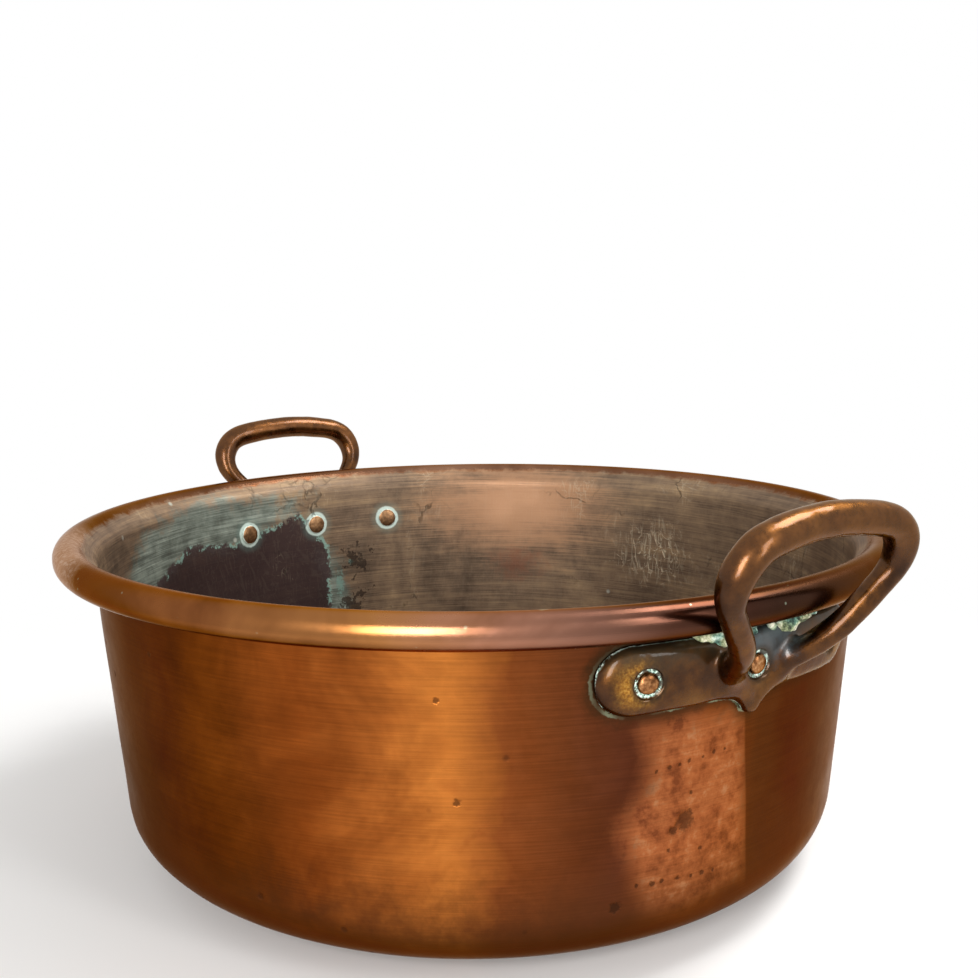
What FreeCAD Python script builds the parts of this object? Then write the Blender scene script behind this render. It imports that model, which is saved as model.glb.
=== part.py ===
import FreeCAD, Part
import math
import os

import Sketcher
from FreeCAD import Placement, Rotation, Vector

# Copper jam pan: one deep body of sheet copper whose rim is rolled over an iron wire,
# and two cast loop handles, each held by three copper rivets.
# Origin: middle of the underside. +Z up, handles on +X (right) and -X (left). Millimetres.

SIZES = {
    # Sheet body
    "rim_diameter": 420.0,        # outside, over the rolled rim
    "pan_height": 165.5,          # underside to the top of the rim
    "sheet_thickness": 2.0,
    "wall_lean": 4.8,             # degrees that the wall opens upward
    "heel_radius": 75.0,          # gentle bend where the flat base ends
    "heel_angle": 35.0,           # degrees turned by the gentle bend
    "corner_radius": 30.0,        # tighter bend from there up to the wall
    # Rolled rim
    "wire_diameter": 10.0,
    "wire_clearance": 0.25,       # air between the wire and the sheet round it
    "neck_radius": 8.0,           # bend where the wall turns outward under the rim
    "flare_angle": 45.0,          # degrees from upright between neck and roll
    "wall_offset": 10.5,          # wire centre out from the wall's outer face
    "curl_sweep": 290.0,          # degrees of sheet bent round the wire
    # Rivets
    "rivet_spacing": 50.5,        # outer rivets from the middle one, measured straight across
    "rivet_drop": 33.0,           # rivet centres below the top of the rim
    "rivet_shank": 6.0,
    "rivet_clearance": 0.15,      # air round a shank
    "inner_head_diameter": 12.0,
    "inner_head_height": 1.6,
    "outer_head_diameter": 8.6,
    "outer_head_height": 2.2,
    # Handle plate
    "seat_clearance": 0.15,       # air between pieces that are riveted together
    "plate_edge": 4.0,            # thickness at the plate's upper and lower edges
    "plate_crown": 1.8,           # extra thickness half way up
    "plate_band_height": 50.0,    # height of the curved band that the plate is cut from
    "plate_round": 2.2,           # rounding of the outer edge
    "lobe_radius": 14.0,          # rounded ends of the plate
    "lobe_offset": 5.5,           # lobe centre out from the outer rivet
    "waist_height": 1.0,          # lower edge beside the cusp, above the lobes' lowest point
    "hollow_radius": 12.0,        # hollows on both sides of the middle cusp
    "hollow_spacing": 13.0,       # centre of each hollow from the middle
    "cusp_round": 3.0,
    "rivet_seat_diameter": 12.5,  # flat sunk into the plate under an outer head
    "rivet_seat_height": 4.4,     # floor of that flat above the wall
    # Handle loop
    "foot_radius": 5.6,           # where the leg runs into the plate
    "knee_radius": 5.2,
    "shoulder_radius": 5.2,
    "grip_radius": 6.9,
    "foot_depth": 5.3,            # foot centre inside the wall's outer face, cut off at the seat
    "foot_drop": 12.0,            # foot centre below the rivets
    "foot_half_gap": 7.7,         # foot centre from the middle
    "knee_reach": 2.2,            # leg centre beyond the rim where it passes the roll
    "knee_drop": 19.5,            # that bend below the top of the rim
    "knee_half_gap": 25.5,
    "knee_bend": 40.0,
    "shoulder_reach": 19.8,       # where leg and grip would meet, beyond the rim
    "shoulder_rise": 21.0,        # the same above the top of the rim
    "shoulder_half_gap": 61.5,
    "shoulder_bend": 17.0,
    "grip_reach": 17.0,           # middle of the grip beyond the rim
    "grip_rise": 31.0,            # middle of the grip above the top of the rim
    "grip_bend": 150.0,
    # Ridges that run from the legs down the plate to the cusp
    "ridge_radius": 5.3,          # where the ridge leaves the leg
    "ridge_half_gap": 13.0,
    "ridge_drop": 4.3,            # below the rivets
    "ridge_height": 2.6,          # ridge centre above the wall
    "ridge_tip_radius": 2.6,
    "ridge_tip_half_gap": 0.8,
    "ridge_tip_drop": 17.0,
    "ridge_tip_height": 1.8,
    # Cutting
    "cut_margin": 6.0,            # how far a cut reaches past what it cuts
}

doc = FreeCAD.newDocument("JamPan")
sheet = doc.addObject("Spreadsheet::Sheet", "Sizes")
for row, (alias, number) in enumerate(SIZES.items(), start=1):
    sheet.set(f"A{row}", alias)
    sheet.set(f"B{row}", str(number))
    sheet.setAlias(f"B{row}", alias)
doc.recompute()


def size(alias):
    return float(sheet.get(alias))


def tangent_of(degrees):
    return math.tan(math.radians(degrees))


# Values that several pieces share
SHEET = size("sheet_thickness")
RIM_RADIUS = size("rim_diameter") / 2
RIM_TOP = size("pan_height")
CURL_INSIDE = size("wire_diameter") / 2 + size("wire_clearance")
CURL_OUTSIDE = CURL_INSIDE + SHEET
WIRE_CENTRE = Vector(RIM_RADIUS - CURL_OUTSIDE, RIM_TOP - CURL_OUTSIDE, 0)
RIVET_HEIGHT = RIM_TOP - size("rivet_drop")
LEAN = math.radians(size("wall_lean"))
WALL_UP = Vector(math.sin(LEAN), math.cos(LEAN), 0)
WALL_OUT = Vector(math.cos(LEAN), -math.sin(LEAN), 0)


def wall_radius(height):
    """Radius of the wall's outer face at a height."""
    at_wire = WIRE_CENTRE.x - size("wall_offset")
    return at_wire + (height - WIRE_CENTRE.y) * tangent_of(size("wall_lean"))


def wall_frame(across, height=RIVET_HEIGHT):
    """Place on the wall's outer face, `across` from the XZ plane, with Z square to the wall."""
    turn = math.asin(across / wall_radius(height))
    outward = Vector(math.cos(turn) * math.cos(LEAN), math.sin(turn) * math.cos(LEAN), -math.sin(LEAN))
    point = Vector(math.cos(turn) * wall_radius(height), across, height)
    return Placement(point, Rotation(Vector(0, 0, 1), outward))


RIVET_PLACES = [wall_frame(side * size("rivet_spacing")) for side in (-1, 0, 1)]


# Rules that several sketches share, written with the sheet's cells
CURL_RULE = "(Sizes.wire_diameter / 2 + Sizes.wire_clearance)"
ROLL_RULE = f"({CURL_RULE} + Sizes.sheet_thickness)"
WIRE_ACROSS_RULE = f"(Sizes.rim_diameter / 2 - {ROLL_RULE})"
WIRE_UP_RULE = f"(Sizes.pan_height - {ROLL_RULE})"
RIVET_RULE = "(Sizes.pan_height - Sizes.rivet_drop)"
WALL_AT_RIVETS_RULE = (f"({WIRE_ACROSS_RULE} - Sizes.wall_offset"
                       f" - ({WIRE_UP_RULE} - {RIVET_RULE}) * tan(Sizes.wall_lean * 1 deg))")


# Sketch helpers

def new_body(label):
    body = doc.addObject("PartDesign::Body", label)
    body.Label = label
    return body


def new_sketch(body, name, role, place=None):
    """Sketch on one of the body's own planes, or at a place given in the body's frame."""
    plane = next(part for part in body.Origin.OriginFeatures if part.Role == role)
    sketch = body.newObject("Sketcher::SketchObject", name)
    sketch.AttachmentSupport = [(plane, "")]
    sketch.MapMode = "FlatFace"
    if place is not None:
        sketch.AttachmentOffset = plane.Placement.inverse().multiply(place)
    return sketch


def line(sketch, start, end):
    return sketch.addGeometry(Part.LineSegment(start, end), False)


def arc(sketch, centre, radius, first, last):
    """Arc drawn counterclockwise between two directions in degrees."""
    circle = Part.Circle(centre, Vector(0, 0, 1), radius)
    return sketch.addGeometry(Part.ArcOfCircle(circle, math.radians(first), math.radians(last)), False)


def relate(sketch, kind, *where):
    sketch.addConstraint(Sketcher.Constraint(kind, *where))


def bind(sketch, name, rule, kind, *where):
    """Dimension that follows a rule written with the sheet's cells."""
    value = sketch.evalExpression(rule)
    if kind == "Angle":
        value = math.radians(value.Value)
    index = sketch.addConstraint(Sketcher.Constraint(kind, *where, value))
    sketch.renameConstraint(index, name)
    sketch.setExpression(f"Constraints.{name}", rule)


def circle_sketch(body, name, place, rule):
    """One circle round a place, with its radius bound to the sheet."""
    sketch = new_sketch(body, name, "XY_Plane", place)
    radius = sketch.evalExpression(rule)
    ring = sketch.addGeometry(Part.Circle(Vector(0, 0, 0), Vector(0, 0, 1), radius), False)
    relate(sketch, "Coincident", ring, 3, -1, 1)
    bind(sketch, "ring_radius", rule, "Radius", ring)
    return sketch


def revolve(body, name, sketch, sweep=360.0):
    feature = body.newObject("PartDesign::Revolution", name)
    feature.Profile = sketch
    feature.ReferenceAxis = (sketch, ["V_Axis"])
    feature.Angle = sweep
    feature.Midplane = sweep < 360
    return feature


def pocket(body, name, sketch, length_rule, both_ways=False):
    feature = body.newObject("PartDesign::Pocket", name)
    feature.Profile = sketch
    feature.Type = "Length"
    feature.setExpression("Length", length_rule)
    feature.Midplane = both_ways
    return feature


# Pan body

def section_of_sheet(body):
    """Closed section of the sheet, from the axis out, up the wall and round the wire."""
    sketch = new_sketch(body, "sheet_section", "XZ_Plane")
    heel, turn = size("heel_radius"), math.radians(size("heel_angle"))
    corner, neck = size("corner_radius"), size("neck_radius")
    flare = math.radians(size("flare_angle"))
    flare_up = Vector(math.sin(flare), math.cos(flare), 0)
    flare_in = Vector(-math.cos(flare), math.sin(flare), 0)
    origin = Vector(0, 0, 0)

    corner_centre_height = heel - (heel - corner) * math.cos(turn)
    corner_top = corner_centre_height - corner * math.sin(LEAN)
    corner_centre = Vector(wall_radius(corner_top) - corner * math.cos(LEAN), corner_centre_height, 0)
    heel_centre = Vector(corner_centre.x - (heel - corner) * math.sin(turn), heel, 0)

    # The neck arc lies against the wall and against the underside of the flare
    wall_point = Vector(wall_radius(WIRE_CENTRE.y), WIRE_CENTRE.y, 0)
    wall_side = wall_point + WALL_OUT * neck
    flare_side = WIRE_CENTRE + flare_in * (CURL_INSIDE - neck)
    gap = flare_side - wall_side
    along_wall = (gap.x * flare_up.y - gap.y * flare_up.x) / (WALL_UP.x * flare_up.y - WALL_UP.y * flare_up.x)
    neck_centre = wall_side + WALL_UP * along_wall

    heel_end = size("heel_angle") - 90
    wall_facing = -size("wall_lean")
    flare_facing = 180 - size("flare_angle")
    curl_end = flare_facing - size("curl_sweep")
    neck_from, neck_to = flare_facing, 180 - size("wall_lean")
    curl_edge = Vector(math.cos(math.radians(curl_end)), math.sin(math.radians(curl_end)), 0)

    base_under = line(sketch, origin, Vector(heel_centre.x, 0, 0))
    heel_under = arc(sketch, heel_centre, heel, -90, heel_end)
    corner_out = arc(sketch, corner_centre, corner, heel_end, wall_facing)
    wall_out = line(sketch, corner_centre + WALL_OUT * corner, neck_centre - WALL_OUT * neck)
    neck_out = arc(sketch, neck_centre, neck, neck_from, neck_to)
    flare_under = line(sketch, neck_centre + flare_in * neck, WIRE_CENTRE + flare_in * CURL_INSIDE)
    curl_in = arc(sketch, WIRE_CENTRE, CURL_INSIDE, curl_end, flare_facing)
    edge = line(sketch, WIRE_CENTRE + curl_edge * CURL_INSIDE, WIRE_CENTRE + curl_edge * CURL_OUTSIDE)
    curl_out = arc(sketch, WIRE_CENTRE, CURL_OUTSIDE, curl_end, flare_facing)
    flare_top = line(sketch, WIRE_CENTRE + flare_in * CURL_OUTSIDE, neck_centre + flare_in * (neck + SHEET))
    neck_in = arc(sketch, neck_centre, neck + SHEET, neck_from, neck_to)
    wall_in = line(sketch, neck_centre - WALL_OUT * (neck + SHEET), corner_centre + WALL_OUT * (corner - SHEET))
    corner_in = arc(sketch, corner_centre, corner - SHEET, heel_end, wall_facing)
    heel_in = arc(sketch, heel_centre, heel - SHEET, -90, heel_end)
    base_in = line(sketch, Vector(heel_centre.x, SHEET, 0), Vector(0, SHEET, 0))
    axis = line(sketch, Vector(0, SHEET, 0), origin)

    # Smooth joints, in order round the section; 1 is an element's start and 2 its end
    smooth = [
        (base_under, 2, heel_under, 1), (heel_under, 2, corner_out, 1), (corner_out, 2, wall_out, 1),
        (wall_out, 2, neck_out, 2), (neck_out, 1, flare_under, 1), (flare_under, 2, curl_in, 2),
        (curl_out, 2, flare_top, 1), (flare_top, 2, neck_in, 1), (neck_in, 2, wall_in, 1),
        (wall_in, 2, corner_in, 2), (corner_in, 1, heel_in, 2), (heel_in, 1, base_in, 1),
    ]
    for joint in smooth:
        relate(sketch, "Tangent", *joint)
    for joint in [(curl_in, 1, edge, 1), (edge, 2, curl_out, 1), (base_in, 2, axis, 1), (axis, 2, base_under, 1)]:
        relate(sketch, "Coincident", *joint)
    for outer, inner in [(heel_under, heel_in), (corner_out, corner_in), (neck_out, neck_in), (curl_in, curl_out)]:
        relate(sketch, "Coincident", outer, 3, inner, 3)
    relate(sketch, "Coincident", axis, 2, -1, 1)
    relate(sketch, "Horizontal", base_under)
    relate(sketch, "Horizontal", base_in)
    relate(sketch, "Vertical", axis)
    relate(sketch, "Parallel", wall_out, wall_in)
    relate(sketch, "Parallel", flare_under, flare_top)
    relate(sketch, "PointOnObject", curl_in, 3, edge)

    level_point = sketch.addGeometry(Part.Point(wall_point), True)
    relate(sketch, "PointOnObject", level_point, 1, wall_out)
    relate(sketch, "Horizontal", level_point, 1, curl_out, 3)

    bind(sketch, "wire_across", WIRE_ACROSS_RULE, "DistanceX", -1, 1, curl_out, 3)
    bind(sketch, "wire_up", WIRE_UP_RULE, "DistanceY", -1, 1, curl_out, 3)
    bind(sketch, "wall_to_wire", "Sizes.wall_offset", "DistanceX", level_point, 1, curl_out, 3)
    bind(sketch, "curl_radius", CURL_RULE, "Radius", curl_in)
    bind(sketch, "thickness", "Sizes.sheet_thickness", "DistanceY", axis, 2, axis, 1)
    bind(sketch, "heel", "Sizes.heel_radius", "Radius", heel_under)
    bind(sketch, "heel_turn", "Sizes.heel_angle * 1 deg", "Angle", heel_under)
    bind(sketch, "corner", "Sizes.corner_radius", "Radius", corner_out)
    bind(sketch, "neck", "Sizes.neck_radius", "Radius", neck_out)
    bind(sketch, "lean", "90 deg - Sizes.wall_lean * 1 deg", "Angle", wall_out)
    bind(sketch, "flare", "90 deg - Sizes.flare_angle * 1 deg", "Angle", flare_under)
    bind(sketch, "curl", "Sizes.curl_sweep * 1 deg", "Angle", curl_out)
    return sketch


def make_pan_body():
    body = new_body("pan_body")
    revolve(body, "raised_sheet", section_of_sheet(body))
    holes = []
    for number, place in enumerate(RIVET_PLACES, start=1):
        sketch = circle_sketch(body, f"rivet_hole_{number}", place, "Sizes.rivet_shank / 2 + Sizes.rivet_clearance")
        holes.append(pocket(body, f"rivet_bore_{number}", sketch, "Sizes.sheet_thickness * 4", both_ways=True))
    pattern = body.newObject("PartDesign::PolarPattern", "both_sides")
    pattern.Originals = holes
    axis = next(part for part in body.Origin.OriginFeatures if part.Role == "Z_Axis")
    pattern.Axis = (axis, [""])
    pattern.Angle = 360
    pattern.Occurrences = 2
    body.Tip = pattern
    return body


# Iron wire inside the roll

def make_rim_wire():
    wire = doc.addObject("Part::Torus", "rim_wire")
    wire.Label = "rim_wire"
    wire.setExpression("Radius1", WIRE_ACROSS_RULE)
    wire.setExpression("Radius2", "Sizes.wire_diameter / 2")
    wire.setExpression("Placement.Base.z", WIRE_UP_RULE)
    return wire


# Handle

WAIST = RIVET_HEIGHT - size("lobe_radius") + size("waist_height")
PLATE_HALF = size("rivet_spacing") + size("lobe_offset") + size("lobe_radius")


def seat_line(sketch):
    """Helper line along the wall at the rivets, a hair outside its face: the plate seats on it."""
    at_rivets = Vector(wall_radius(RIVET_HEIGHT), RIVET_HEIGHT, 0)
    middle = at_rivets + WALL_OUT * size("seat_clearance")
    half = WALL_UP * (size("plate_band_height") / 2)
    wall = line(sketch, at_rivets, at_rivets + half)
    level = line(sketch, at_rivets, middle)
    seat = line(sketch, middle - half, middle + half)
    for helper in (wall, level, seat):
        sketch.setConstruction(helper, True)
    relate(sketch, "Coincident", wall, 1, level, 1)
    relate(sketch, "Parallel", wall, seat)
    relate(sketch, "Perpendicular", seat, level)
    relate(sketch, "Symmetric", seat, 1, seat, 2, level, 2)
    bind(sketch, "wall_across", WALL_AT_RIVETS_RULE, "DistanceX", -1, 1, wall, 1)
    bind(sketch, "rivets_up", RIVET_RULE, "DistanceY", -1, 1, wall, 1)
    bind(sketch, "lean", "90 deg - Sizes.wall_lean * 1 deg", "Angle", wall)
    bind(sketch, "wall_drawn", "Sizes.plate_band_height / 2", "Distance", wall)
    bind(sketch, "air", "Sizes.seat_clearance", "Distance", level)
    bind(sketch, "band_height", "Sizes.plate_band_height", "Distance", seat)
    return seat, middle - half, middle + half


def plate_band(body):
    """Curved band that hugs the wall, thickest half way up. It starts deep; its seat is cut later."""
    sketch = new_sketch(body, "plate_section", "XZ_Plane")
    seat, low, high = seat_line(sketch)
    deep, thick = WALL_OUT * -size("cut_margin"), WALL_OUT * size("plate_edge")
    crown = (low + high) * 0.5 + thick + WALL_OUT * size("plate_crown")
    back = line(sketch, high + deep, low + deep)
    lower = line(sketch, low + deep, low + thick)
    face = sketch.addGeometry(Part.Arc(low + thick, crown, high + thick), False)
    upper = line(sketch, high + thick, high + deep)
    rise = line(sketch, (low + high) * 0.5 + thick, crown)
    sketch.setConstruction(rise, True)
    for joint in [(back, 2, lower, 1), (lower, 2, face, 1), (face, 2, upper, 1), (upper, 2, back, 1)]:
        relate(sketch, "Coincident", *joint)
    relate(sketch, "PointOnObject", seat, 1, lower)
    relate(sketch, "PointOnObject", seat, 2, upper)
    for square in (lower, upper, rise):
        relate(sketch, "Perpendicular", seat, square)
    relate(sketch, "Parallel", seat, back)
    relate(sketch, "Symmetric", lower, 2, upper, 1, rise, 1)
    relate(sketch, "PointOnObject", rise, 2, face)
    bind(sketch, "depth", "Sizes.plate_edge + Sizes.cut_margin", "Distance", lower)
    bind(sketch, "edge_low", "Sizes.plate_edge", "Distance", seat, 1, lower, 2)
    bind(sketch, "edge_high", "Sizes.plate_edge", "Distance", seat, 2, upper, 1)
    bind(sketch, "crown", "Sizes.plate_crown", "Distance", rise)
    sweep = 2 * math.degrees(math.asin((PLATE_HALF + size("cut_margin")) / wall_radius(RIVET_HEIGHT)))
    return revolve(body, "plate_band", sketch, sweep)


def seat_cut(body):
    """Cuts the casting to the curve of the wall, so that plate and feet lie on it."""
    sketch = new_sketch(body, "seat_section", "XZ_Plane")
    seat, low, high = seat_line(sketch)
    deep, beyond = WALL_OUT * (-4 * size("cut_margin")), WALL_UP * size("cut_margin")
    corners = [low - beyond, low - beyond + deep, high + beyond + deep, high + beyond]
    sides = [line(sketch, start, end) for start, end in zip(corners, corners[1:] + corners[:1])]
    for before, after in zip(sides, sides[1:] + sides[:1]):
        relate(sketch, "Coincident", before, 2, after, 1)
    for before, after in zip(sides[:3], sides[1:]):
        relate(sketch, "Perpendicular", before, after)
    relate(sketch, "PointOnObject", seat, 1, sides[3])
    relate(sketch, "PointOnObject", seat, 2, sides[3])
    bind(sketch, "deep", "4 * Sizes.cut_margin", "Distance", sides[0])
    bind(sketch, "below", "Sizes.cut_margin", "Distance", sides[0], 1, seat, 1)
    bind(sketch, "above", "Sizes.cut_margin", "Distance", sides[3], 1, seat, 2)
    groove = body.newObject("PartDesign::Groove", "seat_cut")
    groove.Profile = sketch
    groove.ReferenceAxis = (sketch, ["V_Axis"])
    groove.Angle = 360
    return groove


def plate_outline(body):
    """Outline of the plate seen from the side: two round lobes and a cusp between two hollows."""
    sketch = new_sketch(body, "plate_outline", "YZ_Plane")
    lobe, hollow, tip = size("lobe_radius"), size("hollow_radius"), size("cusp_round")
    lobe_across = size("rivet_spacing") + size("lobe_offset")
    hollow_across = size("hollow_spacing")
    hollow_centre_height = WAIST - hollow
    tip_rise = math.sqrt((hollow + tip) ** 2 - hollow_across ** 2)
    tip_centre = Vector(0, hollow_centre_height + tip_rise, 0)
    flank = math.degrees(math.atan2(tip_rise, hollow_across))

    cusp = arc(sketch, tip_centre, tip, 180 + flank, 360 - flank)
    top = line(sketch, Vector(lobe_across, RIVET_HEIGHT + lobe, 0), Vector(-lobe_across, RIVET_HEIGHT + lobe, 0))
    right = [
        arc(sketch, Vector(hollow_across, hollow_centre_height, 0), hollow, 90, 180 - flank),
        line(sketch, Vector(hollow_across, WAIST, 0), Vector(lobe_across, RIVET_HEIGHT - lobe, 0)),
        arc(sketch, Vector(lobe_across, RIVET_HEIGHT, 0), lobe, -90, 90),
    ]
    left = [
        arc(sketch, Vector(-hollow_across, hollow_centre_height, 0), hollow, flank, 90),
        line(sketch, Vector(-hollow_across, WAIST, 0), Vector(-lobe_across, RIVET_HEIGHT - lobe, 0)),
        arc(sketch, Vector(-lobe_across, RIVET_HEIGHT, 0), lobe, 90, 270),
    ]
    smooth = [
        (cusp, 2, right[0], 2), (right[0], 1, right[1], 1), (right[1], 2, right[2], 1), (right[2], 2, top, 1),
        (cusp, 1, left[0], 1), (left[0], 2, left[1], 1), (left[1], 2, left[2], 2), (left[2], 1, top, 2),
    ]
    for joint in smooth:
        relate(sketch, "Tangent", *joint)
    for right_part, left_part in ((right[0], left[0]), (right[2], left[2])):
        relate(sketch, "Symmetric", right_part, 3, left_part, 3, -2)
        relate(sketch, "Equal", right_part, left_part)
    bind(sketch, "lobe", "Sizes.lobe_radius", "Radius", right[2])
    bind(sketch, "hollow", "Sizes.hollow_radius", "Radius", right[0])
    bind(sketch, "tip", "Sizes.cusp_round", "Radius", cusp)
    bind(sketch, "lobe_across", "Sizes.rivet_spacing + Sizes.lobe_offset", "DistanceX", -1, 1, right[2], 3)
    bind(sketch, "lobe_up", RIVET_RULE, "DistanceY", -1, 1, right[2], 3)
    bind(sketch, "hollow_across", "Sizes.hollow_spacing", "DistanceX", -1, 1, right[0], 3)
    waist_rule = f"{RIVET_RULE} - Sizes.lobe_radius + Sizes.waist_height - Sizes.hollow_radius"
    bind(sketch, "hollow_up", waist_rule, "DistanceY", -1, 1, right[0], 3)

    # The frame round the outline is what the cut takes away
    side = PLATE_HALF + 2 * size("cut_margin")
    rise = size("plate_band_height") / 2 + size("cut_margin")
    corners = [Vector(across, RIVET_HEIGHT + up, 0)
               for across, up in ((side, -rise), (side, rise), (-side, rise), (-side, -rise))]
    frame = [line(sketch, start, end) for start, end in zip(corners, corners[1:] + corners[:1])]
    for part, following, direction in zip(frame, frame[1:] + frame[:1], ["Vertical", "Horizontal"] * 2):
        relate(sketch, "Coincident", part, 2, following, 1)
        relate(sketch, direction, part)
    side_rule = "Sizes.rivet_spacing + Sizes.lobe_offset + Sizes.lobe_radius + 2 * Sizes.cut_margin"
    rise_rule = "(Sizes.plate_band_height / 2 + Sizes.cut_margin)"
    bind(sketch, "frame_right", side_rule, "DistanceX", -1, 1, frame[0], 1)
    bind(sketch, "frame_left", side_rule, "DistanceX", frame[2], 1, -1, 1)
    bind(sketch, "frame_top", f"{RIVET_RULE} + {rise_rule}", "DistanceY", -1, 1, frame[1], 1)
    bind(sketch, "frame_bottom", f"{RIVET_RULE} - {rise_rule}", "DistanceY", -1, 1, frame[3], 1)
    return sketch


def rounded_path(points, radii):
    """Straight runs joined by arcs, as one wire."""
    edges = []
    last = points[0]
    for before, corner, after, radius in zip(points, points[1:], points[2:], radii):
        back, on = (before - corner).normalize(), (after - corner).normalize()
        half = back.getAngle(on) / 2
        start, end = corner + back * (radius / math.tan(half)), corner + on * (radius / math.tan(half))
        centre = corner + (back + on).normalize() * (radius / math.sin(half))
        middle = centre + (corner - centre).normalize() * radius
        edges.append(Part.LineSegment(last, start).toShape())
        edges.append(Part.Arc(start, middle, end).toShape())
        last = end
    edges.append(Part.LineSegment(last, points[-1]).toShape())
    return Part.Wire(edges)


def handle_path():
    """Middle line of the loop: foot, knee, shoulder and grip, and back down the other side."""
    foot_height = RIVET_HEIGHT - size("foot_drop")
    foot_out = wall_radius(foot_height) - size("foot_depth")
    climb = [
        Vector(foot_out, size("foot_half_gap"), foot_height),
        Vector(RIM_RADIUS + size("knee_reach"), size("knee_half_gap"), RIM_TOP - size("knee_drop")),
        Vector(RIM_RADIUS + size("shoulder_reach"), size("shoulder_half_gap"), RIM_TOP + size("shoulder_rise")),
    ]
    grip = Vector(RIM_RADIUS + size("grip_reach"), 0, RIM_TOP + size("grip_rise"))
    descent = [Vector(point.x, -point.y, point.z) for point in reversed(climb)]
    bends = [size("knee_bend"), size("shoulder_bend")]
    path = doc.addObject("Part::Feature", "handle_path")
    path.Shape = rounded_path(climb + [grip] + descent, bends + [size("grip_bend")] + bends[::-1])
    return path


def taper(body, name, near, far):
    """Straight bar between two round sections."""
    run = body.newObject("PartDesign::AdditiveLoft", name)
    run.Profile = near
    run.Sections = [(far, [""])]
    run.Ruled = True


# Radius of the bar at each joint of the path, from the foot to the grip
HALF_LOOP_RADII = ["foot_radius", "knee_radius", "knee_radius", "shoulder_radius", "shoulder_radius", "grip_radius"]


def loop(body, path):
    """Round bar along the path: bends of one thickness, and straight runs that taper between them."""
    edges = path.Shape.Edges
    joints = [(edge, edge.FirstParameter) for edge in edges] + [(edges[-1], edges[-1].LastParameter)]
    sections = []
    for number, ((edge, at), alias) in enumerate(zip(joints, HALF_LOOP_RADII + HALF_LOOP_RADII[::-1]), start=1):
        place = Placement(edge.valueAt(at), Rotation(Vector(0, 0, 1), edge.tangentAt(at)))
        sections.append(circle_sketch(body, f"loop_section_{number}", place, f"Sizes.{alias}"))
    for number, (near, far) in enumerate(zip(sections, sections[1:]), start=1):
        if number % 2:
            taper(body, f"run_{number}", near, far)
        else:
            bend = body.newObject("PartDesign::AdditivePipe", f"bend_{number}")
            bend.Profile = near
            bend.Spine = (path, [f"Edge{number}"])


def cusp_ridge(body, name, side):
    """Ridge down the plate, from the leg on one side to the cusp between the hollows."""
    top = wall_frame(side * size("ridge_half_gap"), RIVET_HEIGHT - size("ridge_drop"))
    tip = wall_frame(side * size("ridge_tip_half_gap"), RIVET_HEIGHT - size("ridge_tip_drop"))
    start = top.multVec(Vector(0, 0, size("ridge_height")))
    end = tip.multVec(Vector(0, 0, size("ridge_tip_height")))
    along = Rotation(Vector(0, 0, 1), end - start)
    near = circle_sketch(body, f"{name}_top", Placement(start, along), "Sizes.ridge_radius")
    far = circle_sketch(body, f"{name}_tip", Placement(end, along), "Sizes.ridge_tip_radius")
    taper(body, name, near, far)


def outer_edges(shape):
    """Names of the edges round the plate's outer face."""
    names = []
    for number, edge in enumerate(shape.Edges, start=1):
        middle = edge.valueAt(edge.getParameterByLength(edge.Length / 2))
        beyond = math.hypot(middle.x, middle.y) - wall_radius(middle.z)
        if beyond > size("plate_edge"):
            names.append(f"Edge{number}")
    return names


def make_handle(label, path, turn):
    body = new_body(label)
    plate_band(body)
    outline = pocket(body, "outline_cut", plate_outline(body), "Sizes.rim_diameter")
    outline.Reversed = True
    doc.recompute()
    rounding = body.newObject("PartDesign::Fillet", "plate_rounding")
    rounding.Base = (outline, outer_edges(outline.Shape))
    rounding.setExpression("Radius", "Sizes.plate_round")
    loop(body, path)
    cusp_ridge(body, "ridge_right", 1)
    cusp_ridge(body, "ridge_left", -1)
    seat_cut(body)
    for number, place in enumerate(RIVET_PLACES, start=1):
        seat_place = place.multiply(Placement(Vector(0, 0, size("rivet_seat_height")), Rotation()))
        seat = circle_sketch(body, f"rivet_seat_{number}", seat_place, "Sizes.rivet_seat_diameter / 2")
        sunk = pocket(body, f"sunk_seat_{number}", seat, "Sizes.rivet_seat_diameter")
        sunk.Reversed = True
        hole = circle_sketch(body, f"rivet_hole_{number}", place, "Sizes.rivet_shank / 2 + Sizes.rivet_clearance")
        pocket(body, f"rivet_bore_{number}", hole, "Sizes.rivet_seat_height * 3", both_ways=True)
    body.Placement = Placement(Vector(0, 0, 0), Rotation(Vector(0, 0, 1), turn))
    return body


# Rivets

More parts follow.
